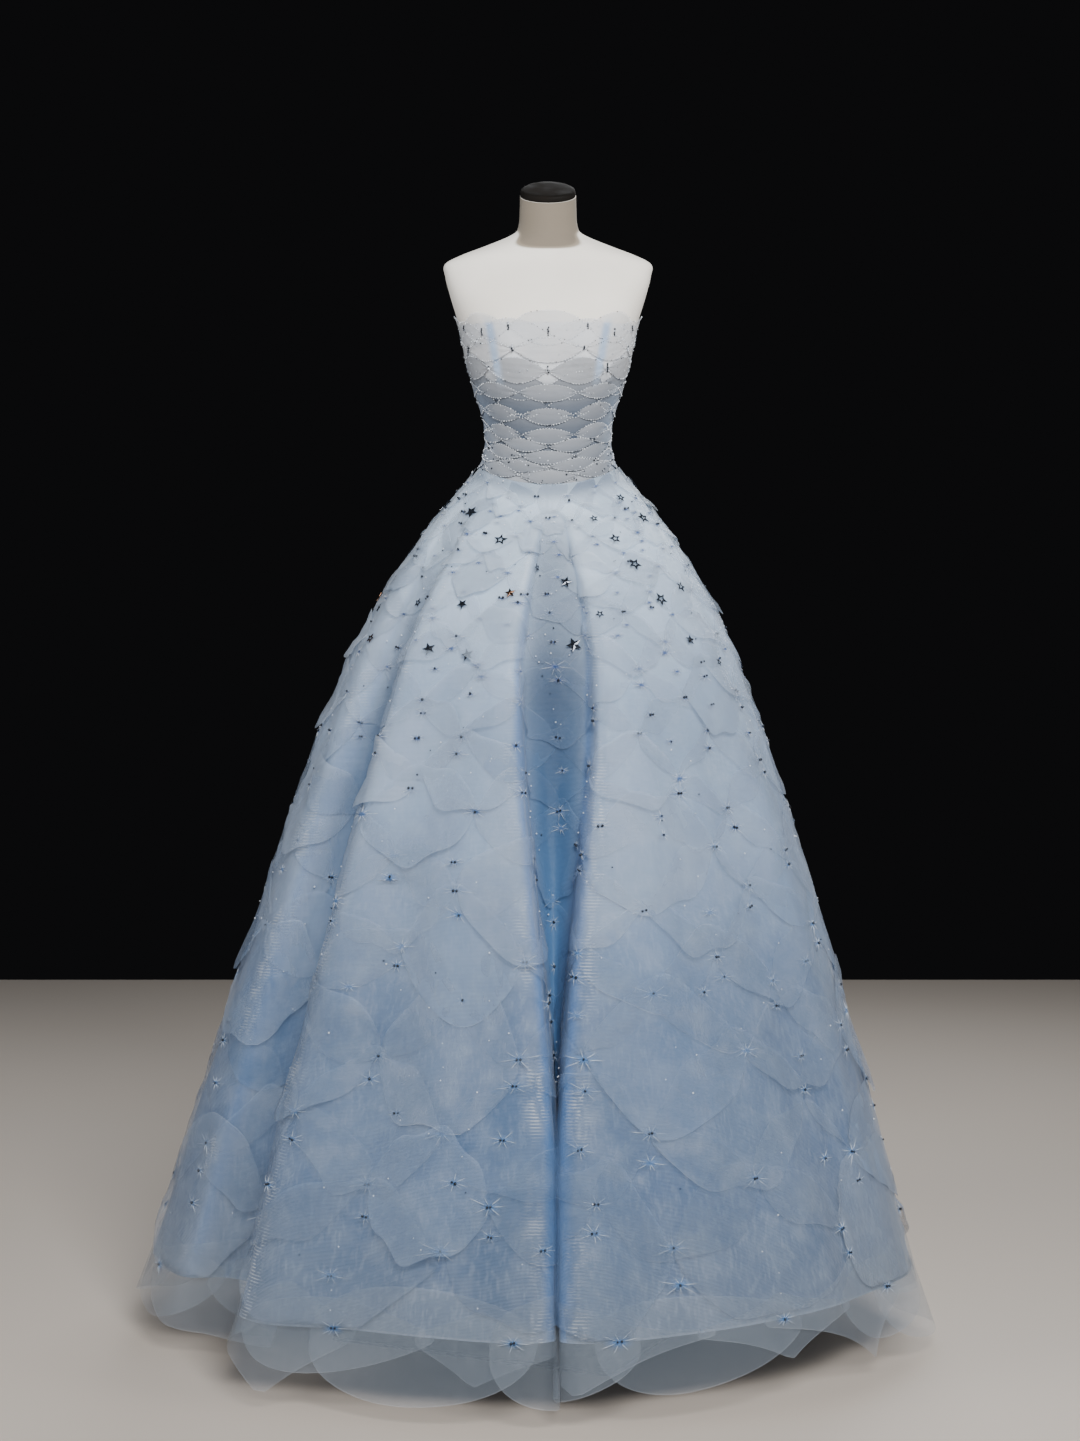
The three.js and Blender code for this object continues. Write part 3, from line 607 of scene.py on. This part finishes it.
# Wood, turned and stained near black, with a dull oiled face
CAP_WOOD = hard("cap_wood", "#100e0c", "#1a1613", 0.8, 0.0, 33.33, Specular_IOR_Level=0.15)
# Steel with a dark powder coat, satin
STEEL = hard("stand_steel", "#26262a", "#36363b", 0.45, 0.7, 16.67)
# Pressed glass, metal-coated to look like jet: near black with a hard glint
JET = hard("jet_bead", "#20242b", "#3a424f", 0.16, 0.55)
# Silver-lined glass: bright and cool
SILVER = hard("silver_bead", "#dfe5ee", "#b9c3d0", 0.3, 0.6)
# Copper-plated brass, gone brown: warm and dull
COPPER = hard("copper_star", "#8a6a58", "#6f5446", 0.25, 1.0)
# Opaque glass seed beads: milky dots along the lenses' edges
SEED = hard("seed_beads", "#e9eef4", "#c3cdd9", 0.25, 0.0)
CRYSTAL = cut_glass("cut_crystal")


# Dress form and stand

FORM_COLUMNS = 192
NECK_SEAM = 1912


def make_form():
    # Rows lie closer together on shoulders and neck
    rows = np.concatenate([np.linspace(FORM_FOOT, 1830, 64), np.linspace(1833, 1971, 90)])
    angle = whole_turn(FORM_COLUMNS)
    weaver = Weaver("neck", "seam")
    body = np.array([form_point(angle, np.full(FORM_COLUMNS, z)) for z in rows])[::-1]
    # The neck's seam dips 36 mm at the front and rises 8 mm at the back
    facing = np.cos(angle)[None, :]
    seam = NECK_SEAM - 36 * np.maximum(facing, 0) ** 2 + 8 * np.maximum(-facing, 0) ** 2
    over_seam = body[..., 2] - seam
    weaver.grid(body, wrap=True, neck=smoothstep(over_seam, -1.5, 1.5), seam=np.exp(-(over_seam / 2.0) ** 2))
    for ring in (body[0], body[-1]):
        centre = ring.mean(0)
        inward = np.array([ring + (centre - ring) * t for t in (0, 0.03, 0.5, 0.999)])
        weaver.grid(inward[::-1], wrap=True)
    torso = weaver.piece("form_torso_linen", LINEN, "form")
    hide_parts("form_torso")

    top = body[0]
    centre = top.mean(0)
    across = unit(top[FORM_COLUMNS // 4] - centre)
    back = unit(top[FORM_COLUMNS // 2] - centre)
    up = np.cross(across, back)
    weaver = Weaver()
    spoke = top - centre
    reach = np.linalg.norm(spoke, axis=1, keepdims=True)
    outline = [centre + 0 * spoke + up * 0.3]
    # The cap's rounded rim, as millimetres in from the neck's rim and up from its top
    for inset, rise in ((1.4, 0.3), (0.9, 1.2), (0.6, 4), (0.6, 7.5), (1.2, 9), (3, 10.6), (8, 11.6)):
        outline.append(centre + spoke * (1 - inset / reach) + up * rise)
    for share, rise in ((0.5, 12), (0.0, 12.2)):
        outline.append(centre + spoke * share + up * rise)
    weaver.grid(np.array(outline)[::-1], wrap=True)
    cap = weaver.piece("form_neck_cap_wood", CAP_WOOD, "cap")
    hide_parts("form_neck_cap")


def dress_stand():
    for name in ("stand_plate", "stand_flange", "stand_pole", "stand_socket"):
        bpy.data.objects[name].data.materials.clear()
        bpy.data.objects[name].data.materials.append(STEEL)


# Skirt

PETALS = 16
ROWS = 23
ROW_GROWTH = 1.062


def row_run(row):
    """How far down the skirt a row of stitches lies, in mm. Rows grow from the waist to the hem."""
    whole = (ROW_GROWTH ** ROWS - 1) / (ROW_GROWTH - 1)
    return skirt.hem * ((ROW_GROWTH ** row - 1) / (ROW_GROWTH - 1)) / whole


def make_underskirt():
    weaver = Weaver("fold", "lip", "brim", "edge")
    u = np.linspace(0, 1, 720, endpoint=False)[None, :]
    s = np.concatenate([np.linspace(0, skirt.hem - 4, 124), [skirt.hem - 2.5, skirt.hem]])[:, None]
    u, s = np.broadcast_arrays(u, s)
    edge = np.where(s > skirt.hem - 3, 0.12, 0.0)
    fold = np.maximum(skirt.read(skirt.inside, u, s), 0.5 * (1 - smoothstep(s, 12, 48)))
    turn = u * 2 * math.pi
    # Small waves, 1.1 mm high, that start under the waist
    waves = np.sin(37 * turn + 4 * np.sin(s / 170) + 2 * np.sin(5 * turn))
    waves = waves * np.sin(s / 61 + 3 * np.sin(8 * turn))
    outward = 1.6 + 1.1 * smoothstep(s, 80, 500) * waves
    weaver.grid(skirt.place(u, s, outward), wrap=True, fold=fold, edge=edge, **skirt.edges(u, s))
    ground = weaver.piece("underskirt", UNDERSKIRT, "organza")
    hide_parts(*["skirt_gore_%d" % k for k in range(1, 9)])


def crumple(luck, x, y, size):
    """Soft irregular waves of crisp cloth, from 0 to about 1, for points x, y of a piece of that size."""
    waves = 0
    for _ in range(5):
        way, length = luck.uniform(0, math.pi), size * luck.uniform(0.16, 0.42)
        phase = luck.uniform(0, 2 * math.pi)
        bend = 0.5 * np.sin((x * math.sin(way) - y * math.cos(way)) * 2.6 / size + phase)
        run = (x * math.cos(way) + y * math.sin(way)) * 2 * math.pi / length
        waves = waves + np.sin(run + phase + bend) ** 2
    return (waves / 5) ** 1.5


ACROSS = (np.sin(np.linspace(-1, 1, 29) * 1.4) / math.sin(1.4))[None, :] * 0.992
LEVELS = np.array([-0.8, -0.5, -0.2, 0.1, 0.4, 0.7, 0.88])


def petal_levels(half, rim):
    """Rows across a petal from its upper edge, -1, to its lower edge, 1, with a narrow rim at both."""
    inner = np.clip(1 - rim / np.maximum(half, rim * 2.5), 0.6, 0.995)
    middle = LEVELS[:, None] * inner
    return np.vstack([-np.ones_like(half), -inner, middle, inner, np.ones_like(half)])


def petal_shape(width, tall, roundness, rim, puff, stand, seed):
    """A petal's points, across and down from its middle, how far each stands out, and its painted edge."""
    half = (tall / 2) * (1 - ACROSS ** 2) ** roundness
    level = petal_levels(half, rim)
    x = (width / 2) * np.broadcast_to(ACROSS, level.shape)
    y = level * half
    belly = (1 - ACROSS ** 2) ** 0.7
    lift = puff * belly * (1 - 0.75 * level ** 2) + stand * belly * smoothstep(level, -0.1, 1.0)
    lift = lift + 0.5 * stand * belly * smoothstep(-level, 0.3, 1.0)
    # Creases that run out from the two stitched ends
    for end in (-1, 1):
        along = np.hypot(x - end * width / 2, y)
        turn = np.arctan2(y, width / 2 - end * x + 1e-6)
        near_end = np.exp(-along / (0.17 * width)) * np.clip(along / (0.05 * width), 0, 1)
        lift = lift + 0.07 * width ** 0.75 * np.sin(turn * 11 + seed * end) * near_end
    edge = (np.abs(level) > 0.9999).astype(float)
    return x, y, lift, edge


def junction(row, k):
    """The stitched point at the left end of petal k of a row, with a little unevenness."""
    jitter = np.random.default_rng(1000 * (row % ROWS) + k % PETALS)
    spacing = row_run(row + 1) - row_run(row)
    u = (k + (row % 2) / 2 + jitter.uniform(-0.15, 0.15)) / PETALS
    return u, row_run(row) + jitter.uniform(-0.22, 0.22) * spacing * (0 < row < ROWS)


def make_skirt_petals():
    for row in range(1, ROWS):
        weaver = Weaver("fold", "lip", "brim", "edge", "fade")
        spacing = row_run(row) - row_run(row - 1)
        depth = row / ROWS
        tall = spacing * 2.35
        roundness = 0.62 + 0.2 * (1 - depth)
        for k in range(PETALS):
            luck = np.random.default_rng(5000 + 100 * row + k)
            u0, s0 = junction(row, k)
            u1, s1 = junction(row, k + 1)
            path = skirt.path_at((s0 + s1) / 2)
            width = (u1 - u0) * path
            size = luck.uniform(0.75, 1.2)
            proud = 3.5 if luck.uniform() < (0.55 if depth < 0.5 else 0.3) else 1.0
            x, y, lift, edge = petal_shape(width, tall * size, roundness * luck.uniform(0.85, 1.5), 1.2,
                                           1.2 + 2.0 * depth, (2.4 + 1.2 * depth) * proud, luck.uniform(0, 6))
            lift = lift + (1.0 + 5.0 * depth) * crumple(luck, x, y, width)
            turn = luck.uniform(-0.2, 0.2)
            # The rim wanders in and out, with a blunt corner or two
            y = y * (1 + 0.09 * np.sin(ACROSS * luck.uniform(4, 9) + luck.uniform(0, 6)))
            u = (u0 + u1) / 2 + (x - turn * y) / path
            s = (s0 + s1) / 2 + y + (s1 - s0) * (x / width) + turn * x
            s = np.clip(s, 2, skirt.hem - luck.uniform(1.5, 14))
            outward = 3.0 + 0.8 * luck.uniform(0, 1) + lift
            fold = skirt.read(skirt.inside, u, s)
            outward = np.where(fold > 0.3, 3.0 + (outward - 3.0) * 0.5, outward)
            tint, pale = (0.5 - 0.2 * depth) * luck.uniform() ** 2, luck.uniform(0, 0.16)
            waist = 0.5 * (1 - smoothstep(s, 12, 48))
            rim = edge * luck.uniform(0, 0.5) * smoothstep(np.sin(ACROSS * 3 + luck.uniform(0, 6)), -0.3, 0.9)
            blue = np.clip(np.maximum(fold, waist) * 0.9 + tint * (1 - fold), 0, 1)
            weaver.grid(skirt.place(u, s, outward), fold=blue, edge=np.maximum(rim, pale * (1 - fold)),
                        fade=luck.uniform(-0.05, 0.2), **skirt.edges(u, s))
        name = "petals_row_%02d" % row
        piece = weaver.piece(name, PETAL, "organza")


def make_hem_petals():
    """Two layers of petals that hang from the last row of stitches, the inner one shorter and staggered."""
    weaver = Weaver("fold", "lip", "edge", "fade")
    across = (np.sin(np.linspace(-1, 1, 31) * 1.4) / math.sin(1.4))[None, :]
    drop = HEM - PETAL_FOOT
    for layer in range(2):
        for k in range(PETALS):
            luck = np.random.default_rng(9000 + 40 * layer + k)
            u0, _ = junction(ROWS, k)
            u1, _ = junction(ROWS, k + 1)
            u0, u1 = u0 + layer / 2 / PETALS, u1 + layer / 2 / PETALS
            middle, wide = (u0 + u1) / 2, (u1 - u0) * (1.25, 1.1)[layer]
            full = drop * luck.uniform(0.72, 1.0) * (1, 0.75)[layer]
            lean = luck.uniform(-0.45, 0.45)
            rounded = (1 - across ** 2) ** (0.45, 0.7)[layer] * (1 + lean * across)
            tipped = (1 - across ** 2) ** 0.35 * np.exp(-1.7 * np.abs(across - lean))
            shape = tipped if luck.uniform() < 0.3 else rounded
            half = 4 + (full - 4) * shape / shape.max()
            rim = 1 - 1.6 / np.maximum(half, 6)
            level = np.vstack([np.linspace(-0.7, 0.9, 12)[:, None] * rim, rim, np.ones_like(rim)])
            u = middle + wide / 2 * across * np.ones_like(level)
            s = np.minimum(skirt.hem + level * half * 1.04, skirt.s_of(PETAL_FOOT - 2))
            belly = (1 - across ** 2) ** 0.6
            down = np.clip(level, 0, 1)
            pleats = np.sin(across * 19 + luck.uniform(0, 6)) * np.exp(-((1 - np.abs(across)) / 0.22))
            pleats = pleats * 3 * (1 - down)
            outward = (4.4, 1.9)[layer] + belly * (2 + (4, 1)[layer] * down) + pleats
            weaver.grid(skirt.place(u, s, outward), fold=skirt.read(skirt.inside, u, s) * 0.6,
                        lip=skirt.read(skirt.lip, u, s), edge=(level > 0.9999) * 0.35,
                        fade=luck.uniform(0, 0.08))
    piece = weaver.piece("hem_petals", HEM_PETAL, "organza")
    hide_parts(*["hem_petal_%02d" % k for k in range(1, 17)])


PINCH_RINGS = np.array([
    # reach, fading between the pleats, fading along them
    (0.02, 0, 0),
    (0.16, 0.08, 0.1),
    (0.34, 0.45, 0.12),
    (0.62, 0.78, 0.4),
    (1, 1, 1),
])


def pinch_patch(weaver, place, radius, luck):
    """Cloth drawn in at a stitch: a dimple of deep blue painted shade, with a few thin pleats of painted
    highlight that fade out.
    """
    rays = whole_turn(7) + luck.uniform(-0.3, 0.3, 7)
    turn = np.sort(np.concatenate([rays - 0.06, rays, rays + 0.06, rays + 0.45]))
    turn = np.append(turn, turn[0] + 2 * math.pi)[None, :]
    pleats = np.isin(turn % (2 * math.pi), rays % (2 * math.pi)).astype(float)
    stray = luck.uniform(0, 1, turn.size)[None, :] ** 1.5
    long = 0.42 + (0.1 + 0.48 * stray) * pleats + 0.25 * np.cos(turn) ** 2
    long[0, -1] = long[0, 0]
    reach, between, along = PINCH_RINGS.T[:, :, None]
    x = radius * reach * long * np.cos(turn)
    y = 0.75 * radius * reach * long * np.sin(turn)
    lift = pleats * (1 - reach) * reach ** 0.4 * radius * 0.12
    # The fold paint is the dimple's painted shade, and the edge paint the pleats' painted highlights
    weaver.grid(place(x, y, lift), fold=(1 - pleats) * (1 - 0.45 * reach) + pleats * (reach < 0.2),
                edge=0.75 * pleats * (reach > 0.2), fade=between * (1 - pleats) + along * pleats)
    return 2 * radius, math.pi * 0.75 * 0.5 * radius ** 2


def ball(weaver, centre, radius):
    """A small faceted bead."""
    turn = whole_turn(6)[None, :]
    tilt = np.linspace(0.2, math.pi - 0.2, 4)[:, None]
    points = np.stack([np.sin(tilt) * np.cos(turn), np.sin(tilt) * np.sin(turn), np.cos(tilt) + 0 * turn], -1)
    weaver.grid(centre + points * radius, wrap=True)


def make_junctions():
    """Pinched stitches with their beads: at the petals' ends, and some alone or in pairs on the petals."""
    pinches = Weaver("fold", "lip", "edge", "fade")
    beads = Weaver()
    for row in range(1, ROWS + 1):
        spacing = row_run(row) - row_run(row - 1)
        depth = row / ROWS
        for k in range(PETALS):
            luck = np.random.default_rng(20000 + 100 * row + k)
            u0, s0 = junction(row, k)
            path = skirt.path_at(s0)
            spots = [(u0, s0, 1.0)]
            if luck.uniform() < 0.55 and row < ROWS:
                spots.append((u0 + luck.uniform(-9, 9) / path, s0 + luck.uniform(0.35, 0.55) * spacing, 0.9))
            if luck.uniform() < 0.5 and 2 < row < ROWS:
                aside, down = luck.uniform(0.35, 0.65) / PETALS, luck.uniform(-0.3, 0.3) * spacing
                spots.append((u0 + aside, s0 + down, 0.8))
            for u, s, share in spots:
                radius = (14 + 25 * depth) * share * luck.uniform(0.75, 1.15)

                def place(x, y, lift):
                    down = np.clip(s + y, 1, skirt.hem + 20)
                    return skirt.place(u + x / path, down, 5.6 + 2.5 * depth + lift)

                pinch_patch(pinches, place, radius, luck)
                if luck.uniform() < (0.85 if depth > 0.45 else 0.28):
                    side = luck.uniform(2.2, 3.6)
                    for way in (-1, 1) if luck.uniform() < 0.6 else (0,):
                        ball(beads, place(way * side, luck.uniform(-1.4, 1.4), 2.4), luck.uniform(1.7, 2.5))
    pinched = pinches.piece("pinched_stitches", PINCH, "organza")
    beads.piece("stitch_beads", JET, "steel")


# Bodice

LENS_ROWS = [
    # middle as a share of the bodice's height, height in mm, staggered, tone in the fold colour, stand-out
    (0.42, 46, 1, 0.8, 0.2),
    (0.535, 42, 1, 0.9, 0.2),
    (0.66, 42, 1, 0.9, 0.2),
    (0.065, 56, 0, 0.0, 0.6),
    (0.10, 50, 1, 0.0, 0.4),
    (0.2, 42, 0, 0.16, 0.9),
    (0.325, 42, 1, 0.56, 1.3),
    (0.46, 27, 0, 0.74, 1.6),
    (0.595, 29, 0, 0.78, 1.6),
    (0.715, 25, 0, 0.78, 1.6),
    (0.775, 22, 1, 0.78, 1.9),
    (0.845, 23, 0, 0.76, 1.6),
    (0.90, 21, 1, 0.76, 1.9),
    (0.96, 23, 0, 0.74, 1.6),
]
LENSES = 8
LENS_ROUNDNESS = 1.0
BODICE_HEIGHT = 277.0
SEED_SPACING = 5.2
WAIST_BEADS = 150


def bone_bars(turn, down):
    """Two pale blue bars of boning that show through the upper bodice, and a blue cast at the lower sides."""
    degrees = np.abs(turned(np.asarray(turn) * 360, 0))
    bars = 0.9 * np.exp(-((degrees - 37) / 3.6) ** 4) * (1 - smoothstep(down, 0.28, 0.46))
    bars = bars * smoothstep(down, -0.02, 0.06)
    return np.maximum(bars, 0.35 * smoothstep(degrees, 45, 85) * smoothstep(down, 0.35, 0.55))


def make_bodice():
    weaver = Weaver("fold", "bar", "edge")
    turn = np.linspace(0, 1, 208, endpoint=False)[None, :]
    down = np.linspace(0.035, 1, 64)[:, None]
    turn, down = np.broadcast_arrays(turn, down)
    blue = smoothstep(down, 0.3, 0.5) * (1 - 0.35 * smoothstep(down, 0.75, 0.95))
    weaver.grid(bodice_place(turn, down, np.full(turn.shape, 0.5)), wrap=True, fold=blue * 0.9,
                bar=bone_bars(turn, down))
    ground = weaver.piece("bodice_ground", BODICE_GROUND, "bodice")
    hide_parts("bodice_front", "bodice_side_front_left", "bodice_side_front_right",
                "bodice_side_back_left", "bodice_side_back_right", "bodice_back_left", "bodice_back_right")

    trim, crystals, darks = Weaver(), Weaver(), Weaver()
    for number, (middle, tall, staggered, tone, layer) in enumerate(LENS_ROWS):
        weaver = Weaver("fold", "bar", "edge", "fade")
        for k in range(LENSES):
            luck = np.random.default_rng(300 + 20 * number + k)
            centre = (k + staggered / 2) / LENSES
            angle = centre * 2 * math.pi
            size = luck.uniform(0.94, 1.06)
            girth = 2 * math.pi * float(np.linalg.norm(bodice_place(centre, middle, 0.0)[:2]))
            width = girth / LENSES
            x, y, lift, edge = petal_shape(width, tall * size, LENS_ROUNDNESS, 1.5, 1.2, 1.6,
                                           luck.uniform(0, 6))
            turn = centre + x / girth
            down = middle + luck.uniform(-0.006, 0.006) + y / BODICE_HEIGHT
            down = np.clip(down, -0.045, 1.0)
            outward = 1.2 + layer + lift * 0.8
            # Painted shade: each lens is a little darker and bluer towards its lower edge
            darker = tone * (0.9 + 0.2 * np.clip(0.5 + y / tall, 0, 1))
            weaver.grid(bodice_place(turn, down, outward), fold=darker, edge=edge * luck.uniform(0, 0.3),
                        bar=bone_bars(turn, down), fade=0.25 * (middle < 0.12) + luck.uniform(0, 0.1))
            # A string of seed beads along each lens's two curved edges
            for side in (0, -1):
                line = bodice_place(turn[side], down[side], outward[side] + 0.8)
                run = np.concatenate([[0], np.cumsum(np.linalg.norm(np.diff(line, axis=0), axis=1))])
                for at in np.arange(1.5, run[-1], SEED_SPACING) + luck.uniform(-0.9, 0.9):
                    point = np.array([np.interp(at, run, line[:, axis]) for axis in range(3)])
                    kind = luck.uniform()
                    beads = darks if kind < 0.12 else crystals if kind < 0.34 else trim
                    ball(beads, point, luck.uniform(0.45, 1.25))
            # Dark and silver beads in a short upright row at the left end of each lens
            if tone < 0.7:
                spot = bodice_place(centre - 0.5 / LENSES, middle, 3.2 + layer)
                count = luck.integers(2, 6) if middle < 0.35 else luck.integers(1, 4)
                for step in range(count):
                    shift = np.array([luck.uniform(-0.8, 0.8), 0, 3.4 * (count / 2 - step)])
                    ball(darks if luck.uniform() < 0.7 else crystals, spot + shift, luck.uniform(1.5, 2.2))
            for _ in range(3 if tone < 0.7 else 0):
                aside = luck.uniform(-0.4, 0.4) / LENSES
                along = luck.uniform(-0.3, 0.3) * tall / BODICE_HEIGHT
                spot = bodice_place(centre + aside, middle + along, 3.4 + layer)
                ball(crystals, spot, luck.uniform(0.7, 1.2))
        piece = weaver.piece("lens_row_%02d" % number, LENS, "bodice")
    # Loose beads gather round the waist
    luck = np.random.default_rng(77)
    for _ in range(WAIST_BEADS):
        spot = bodice_place(luck.uniform(), luck.uniform(0.84, 1.0), 4.2)
        ball(darks if luck.uniform() < 0.6 else crystals, spot, luck.uniform(1.0, 1.9))
    trim.piece("seed_beads", SEED, "bodice")
    crystals.piece("bodice_crystals", SILVER, "steel")
    darks.piece("bodice_beads", JET, "steel")

    # The zip's tape runs down the centre back, 4 mm wide with a raised middle, on a girth of about 0.6 m
    tape = Weaver()
    across, ridge = np.array([(-2.0, 0), (-1.2, 0.5), (0, 0.8), (1.2, 0.5), (2.0, 0)]).T[:, None, :]
    levels = np.linspace(0.0, 1.0, 60)[:, None]
    girth = 2 * math.pi * 95
    tape.grid(bodice_place(0.5 + across / girth + 0 * levels, levels + 0 * across, 2.4 + ridge + 0 * levels))
    zipper = tape.piece("back_zip_tape", TAPE, "zip")
    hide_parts("back_zip")


# Ornaments on the skirt

STARS = 56
STAR_GAP = 48
SKIRT_CRYSTALS = 700
SKIRT_BEADS = 120


def star(weaver, centre, across, up, out, radius, hollow):
    """A flat five-pointed star with a raised middle, or an outline of one."""
    turn = whole_turn(10) + math.pi / 2
    reach = np.where(np.arange(10) % 2 == 0, 1.0, 0.42) * radius
    rim = centre + across * (np.cos(turn) * reach)[:, None] + up * (np.sin(turn) * reach)[:, None]
    middle = centre + (rim - centre) * (0.5 if hollow else 0.03)
    rings = [rim, rim + out * 0.8, middle + out * (0.9 if hollow else 1.8), middle]
    weaver.grid(np.array(rings), wrap=True)


def make_ornaments():
    luck = np.random.default_rng(42)
    dark, warm, bright, seeds = Weaver(), Weaver(), Weaver(), Weaver()
    placed = []
    while len(placed) < STARS:
        u, s = luck.uniform(), 30 + 400 * luck.beta(1.6, 1.6)
        spot = skirt.place(u, s, 9.0)
        if any(np.linalg.norm(spot - other) < STAR_GAP for other in placed):
            continue
        placed.append(spot)
        out = unit(skirt.read(skirt.normals, u, s))
        across = unit(np.cross(np.array([0, 0, 1.0]), out))
        up = np.cross(out, across)
        spin = luck.uniform(0, 1.2)
        tip = up * math.cos(spin) - across * math.sin(spin)
        across, up = across * math.cos(spin) + up * math.sin(spin), tip
        weaver = warm if luck.uniform() < 0.08 else dark
        star(weaver, spot, across, up, out, luck.uniform(7.0, 14.0), luck.uniform() < 0.65)
    for weaver, count, lean, out, smallest, largest in ((bright, SKIRT_CRYSTALS, 1.25, 6.5, 0.8, 1.5),
                                                        (seeds, SKIRT_BEADS, 1.3, 6.0, 1.0, 1.6)):
        for _ in range(count):
            u, s = luck.uniform(), 8 + (skirt.hem - 20) * luck.beta(1.1, lean)
            ball(weaver, skirt.place(u, s, out + 4 * s / skirt.hem), luck.uniform(smallest, largest))
    dark.piece("stars_dark", JET, "steel", smooth=False)
    warm.piece("stars_copper", COPPER, "steel", smooth=False)
    bright.piece("skirt_crystals", CRYSTAL, "steel", smooth=False)
    seeds.piece("skirt_beads", JET, "steel")


# Room

LAMPS = [
    # name, place, aim, width and height, watts, tint
    ("key", (0.85, -3.6, 3.5), (0, 0, 1.4), (1.6, 1.2), 290, (1.0, 0.985, 0.96)),
    ("left", (-3.2, -1.6, 1.7), (0, 0, 0.9), (1.6, 2.4), 66, (0.95, 0.97, 1.0)),
    ("right", (3.2, -1.6, 1.7), (0, 0, 0.9), (1.6, 2.4), 46, (0.95, 0.97, 1.0)),
    ("back", (0.6, 2.8, 3.2), (0, 0, 1.0), (1.8, 1.8), 65, (0.96, 0.98, 1.0)),
]
FOCAL_MM = 68.6
SENSOR_MM = 36
EYE = (-0.014, -4.836, 1.28)
LOOK_DOWN = 2.674


def make_room():
    bpy.ops.mesh.primitive_plane_add(size=1, location=(0, -0.6, 0))
    floor = bpy.context.object
    floor.name = "floor"
    floor.scale = (16, 9.6, 1)
    # Honed pale stone, soft and low in contrast
    stone = Finish("pale_floor", Roughness=0.5)
    clouds = stone.coat(colour("#c6bdb4"), "#bbb1a7", stone.uneven(833.3, 5), 0.35, 0.65, 0, 1)
    stone.join(stone.shader, {"Base Color": clouds})
    floor.data.materials.append(stone.material)
    floor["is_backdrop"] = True

    for name, place, aim, size, watts, tint in LAMPS:
        light = bpy.data.lights.new(name, "AREA")
        light.shape = "RECTANGLE"
        light.size, light.size_y = size
        light.energy = watts
        light.color = tint
        lamp = bpy.data.objects.new(name, light)
        lamp.location = place
        x, y, z = np.array(aim) - np.array(place)
        lamp.rotation_euler = (math.atan2(math.hypot(x, y), -z), 0, math.atan2(-x, y))
        bpy.context.scene.collection.objects.link(lamp)

    world = bpy.data.worlds.new("studio")
    bpy.context.scene.world = world
    world.use_nodes = True
    world.node_tree.nodes["Background"].inputs["Color"].default_value = (0.005, 0.005, 0.0055, 1)
    world.node_tree.nodes["Background"].inputs["Strength"].default_value = 1.0

    camera = bpy.data.cameras.new("camera")
    camera.lens = FOCAL_MM
    camera.sensor_width = SENSOR_MM
    view = bpy.data.objects.new("camera", camera)
    view.location = AXIS + np.array(EYE)
    view.rotation_euler = (math.radians(90 - LOOK_DOWN), 0, 0)
    bpy.context.scene.collection.objects.link(view)
    bpy.context.scene.camera = view


make_room()
make_form()
dress_stand()
make_bodice()
make_underskirt()
make_skirt_petals()
make_hem_petals()
make_junctions()
make_ornaments()

plain = lambda box: [[float(v) for v in corner] for corner in box]
{"cad": plain(cad_box), "visual": plain(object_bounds())}
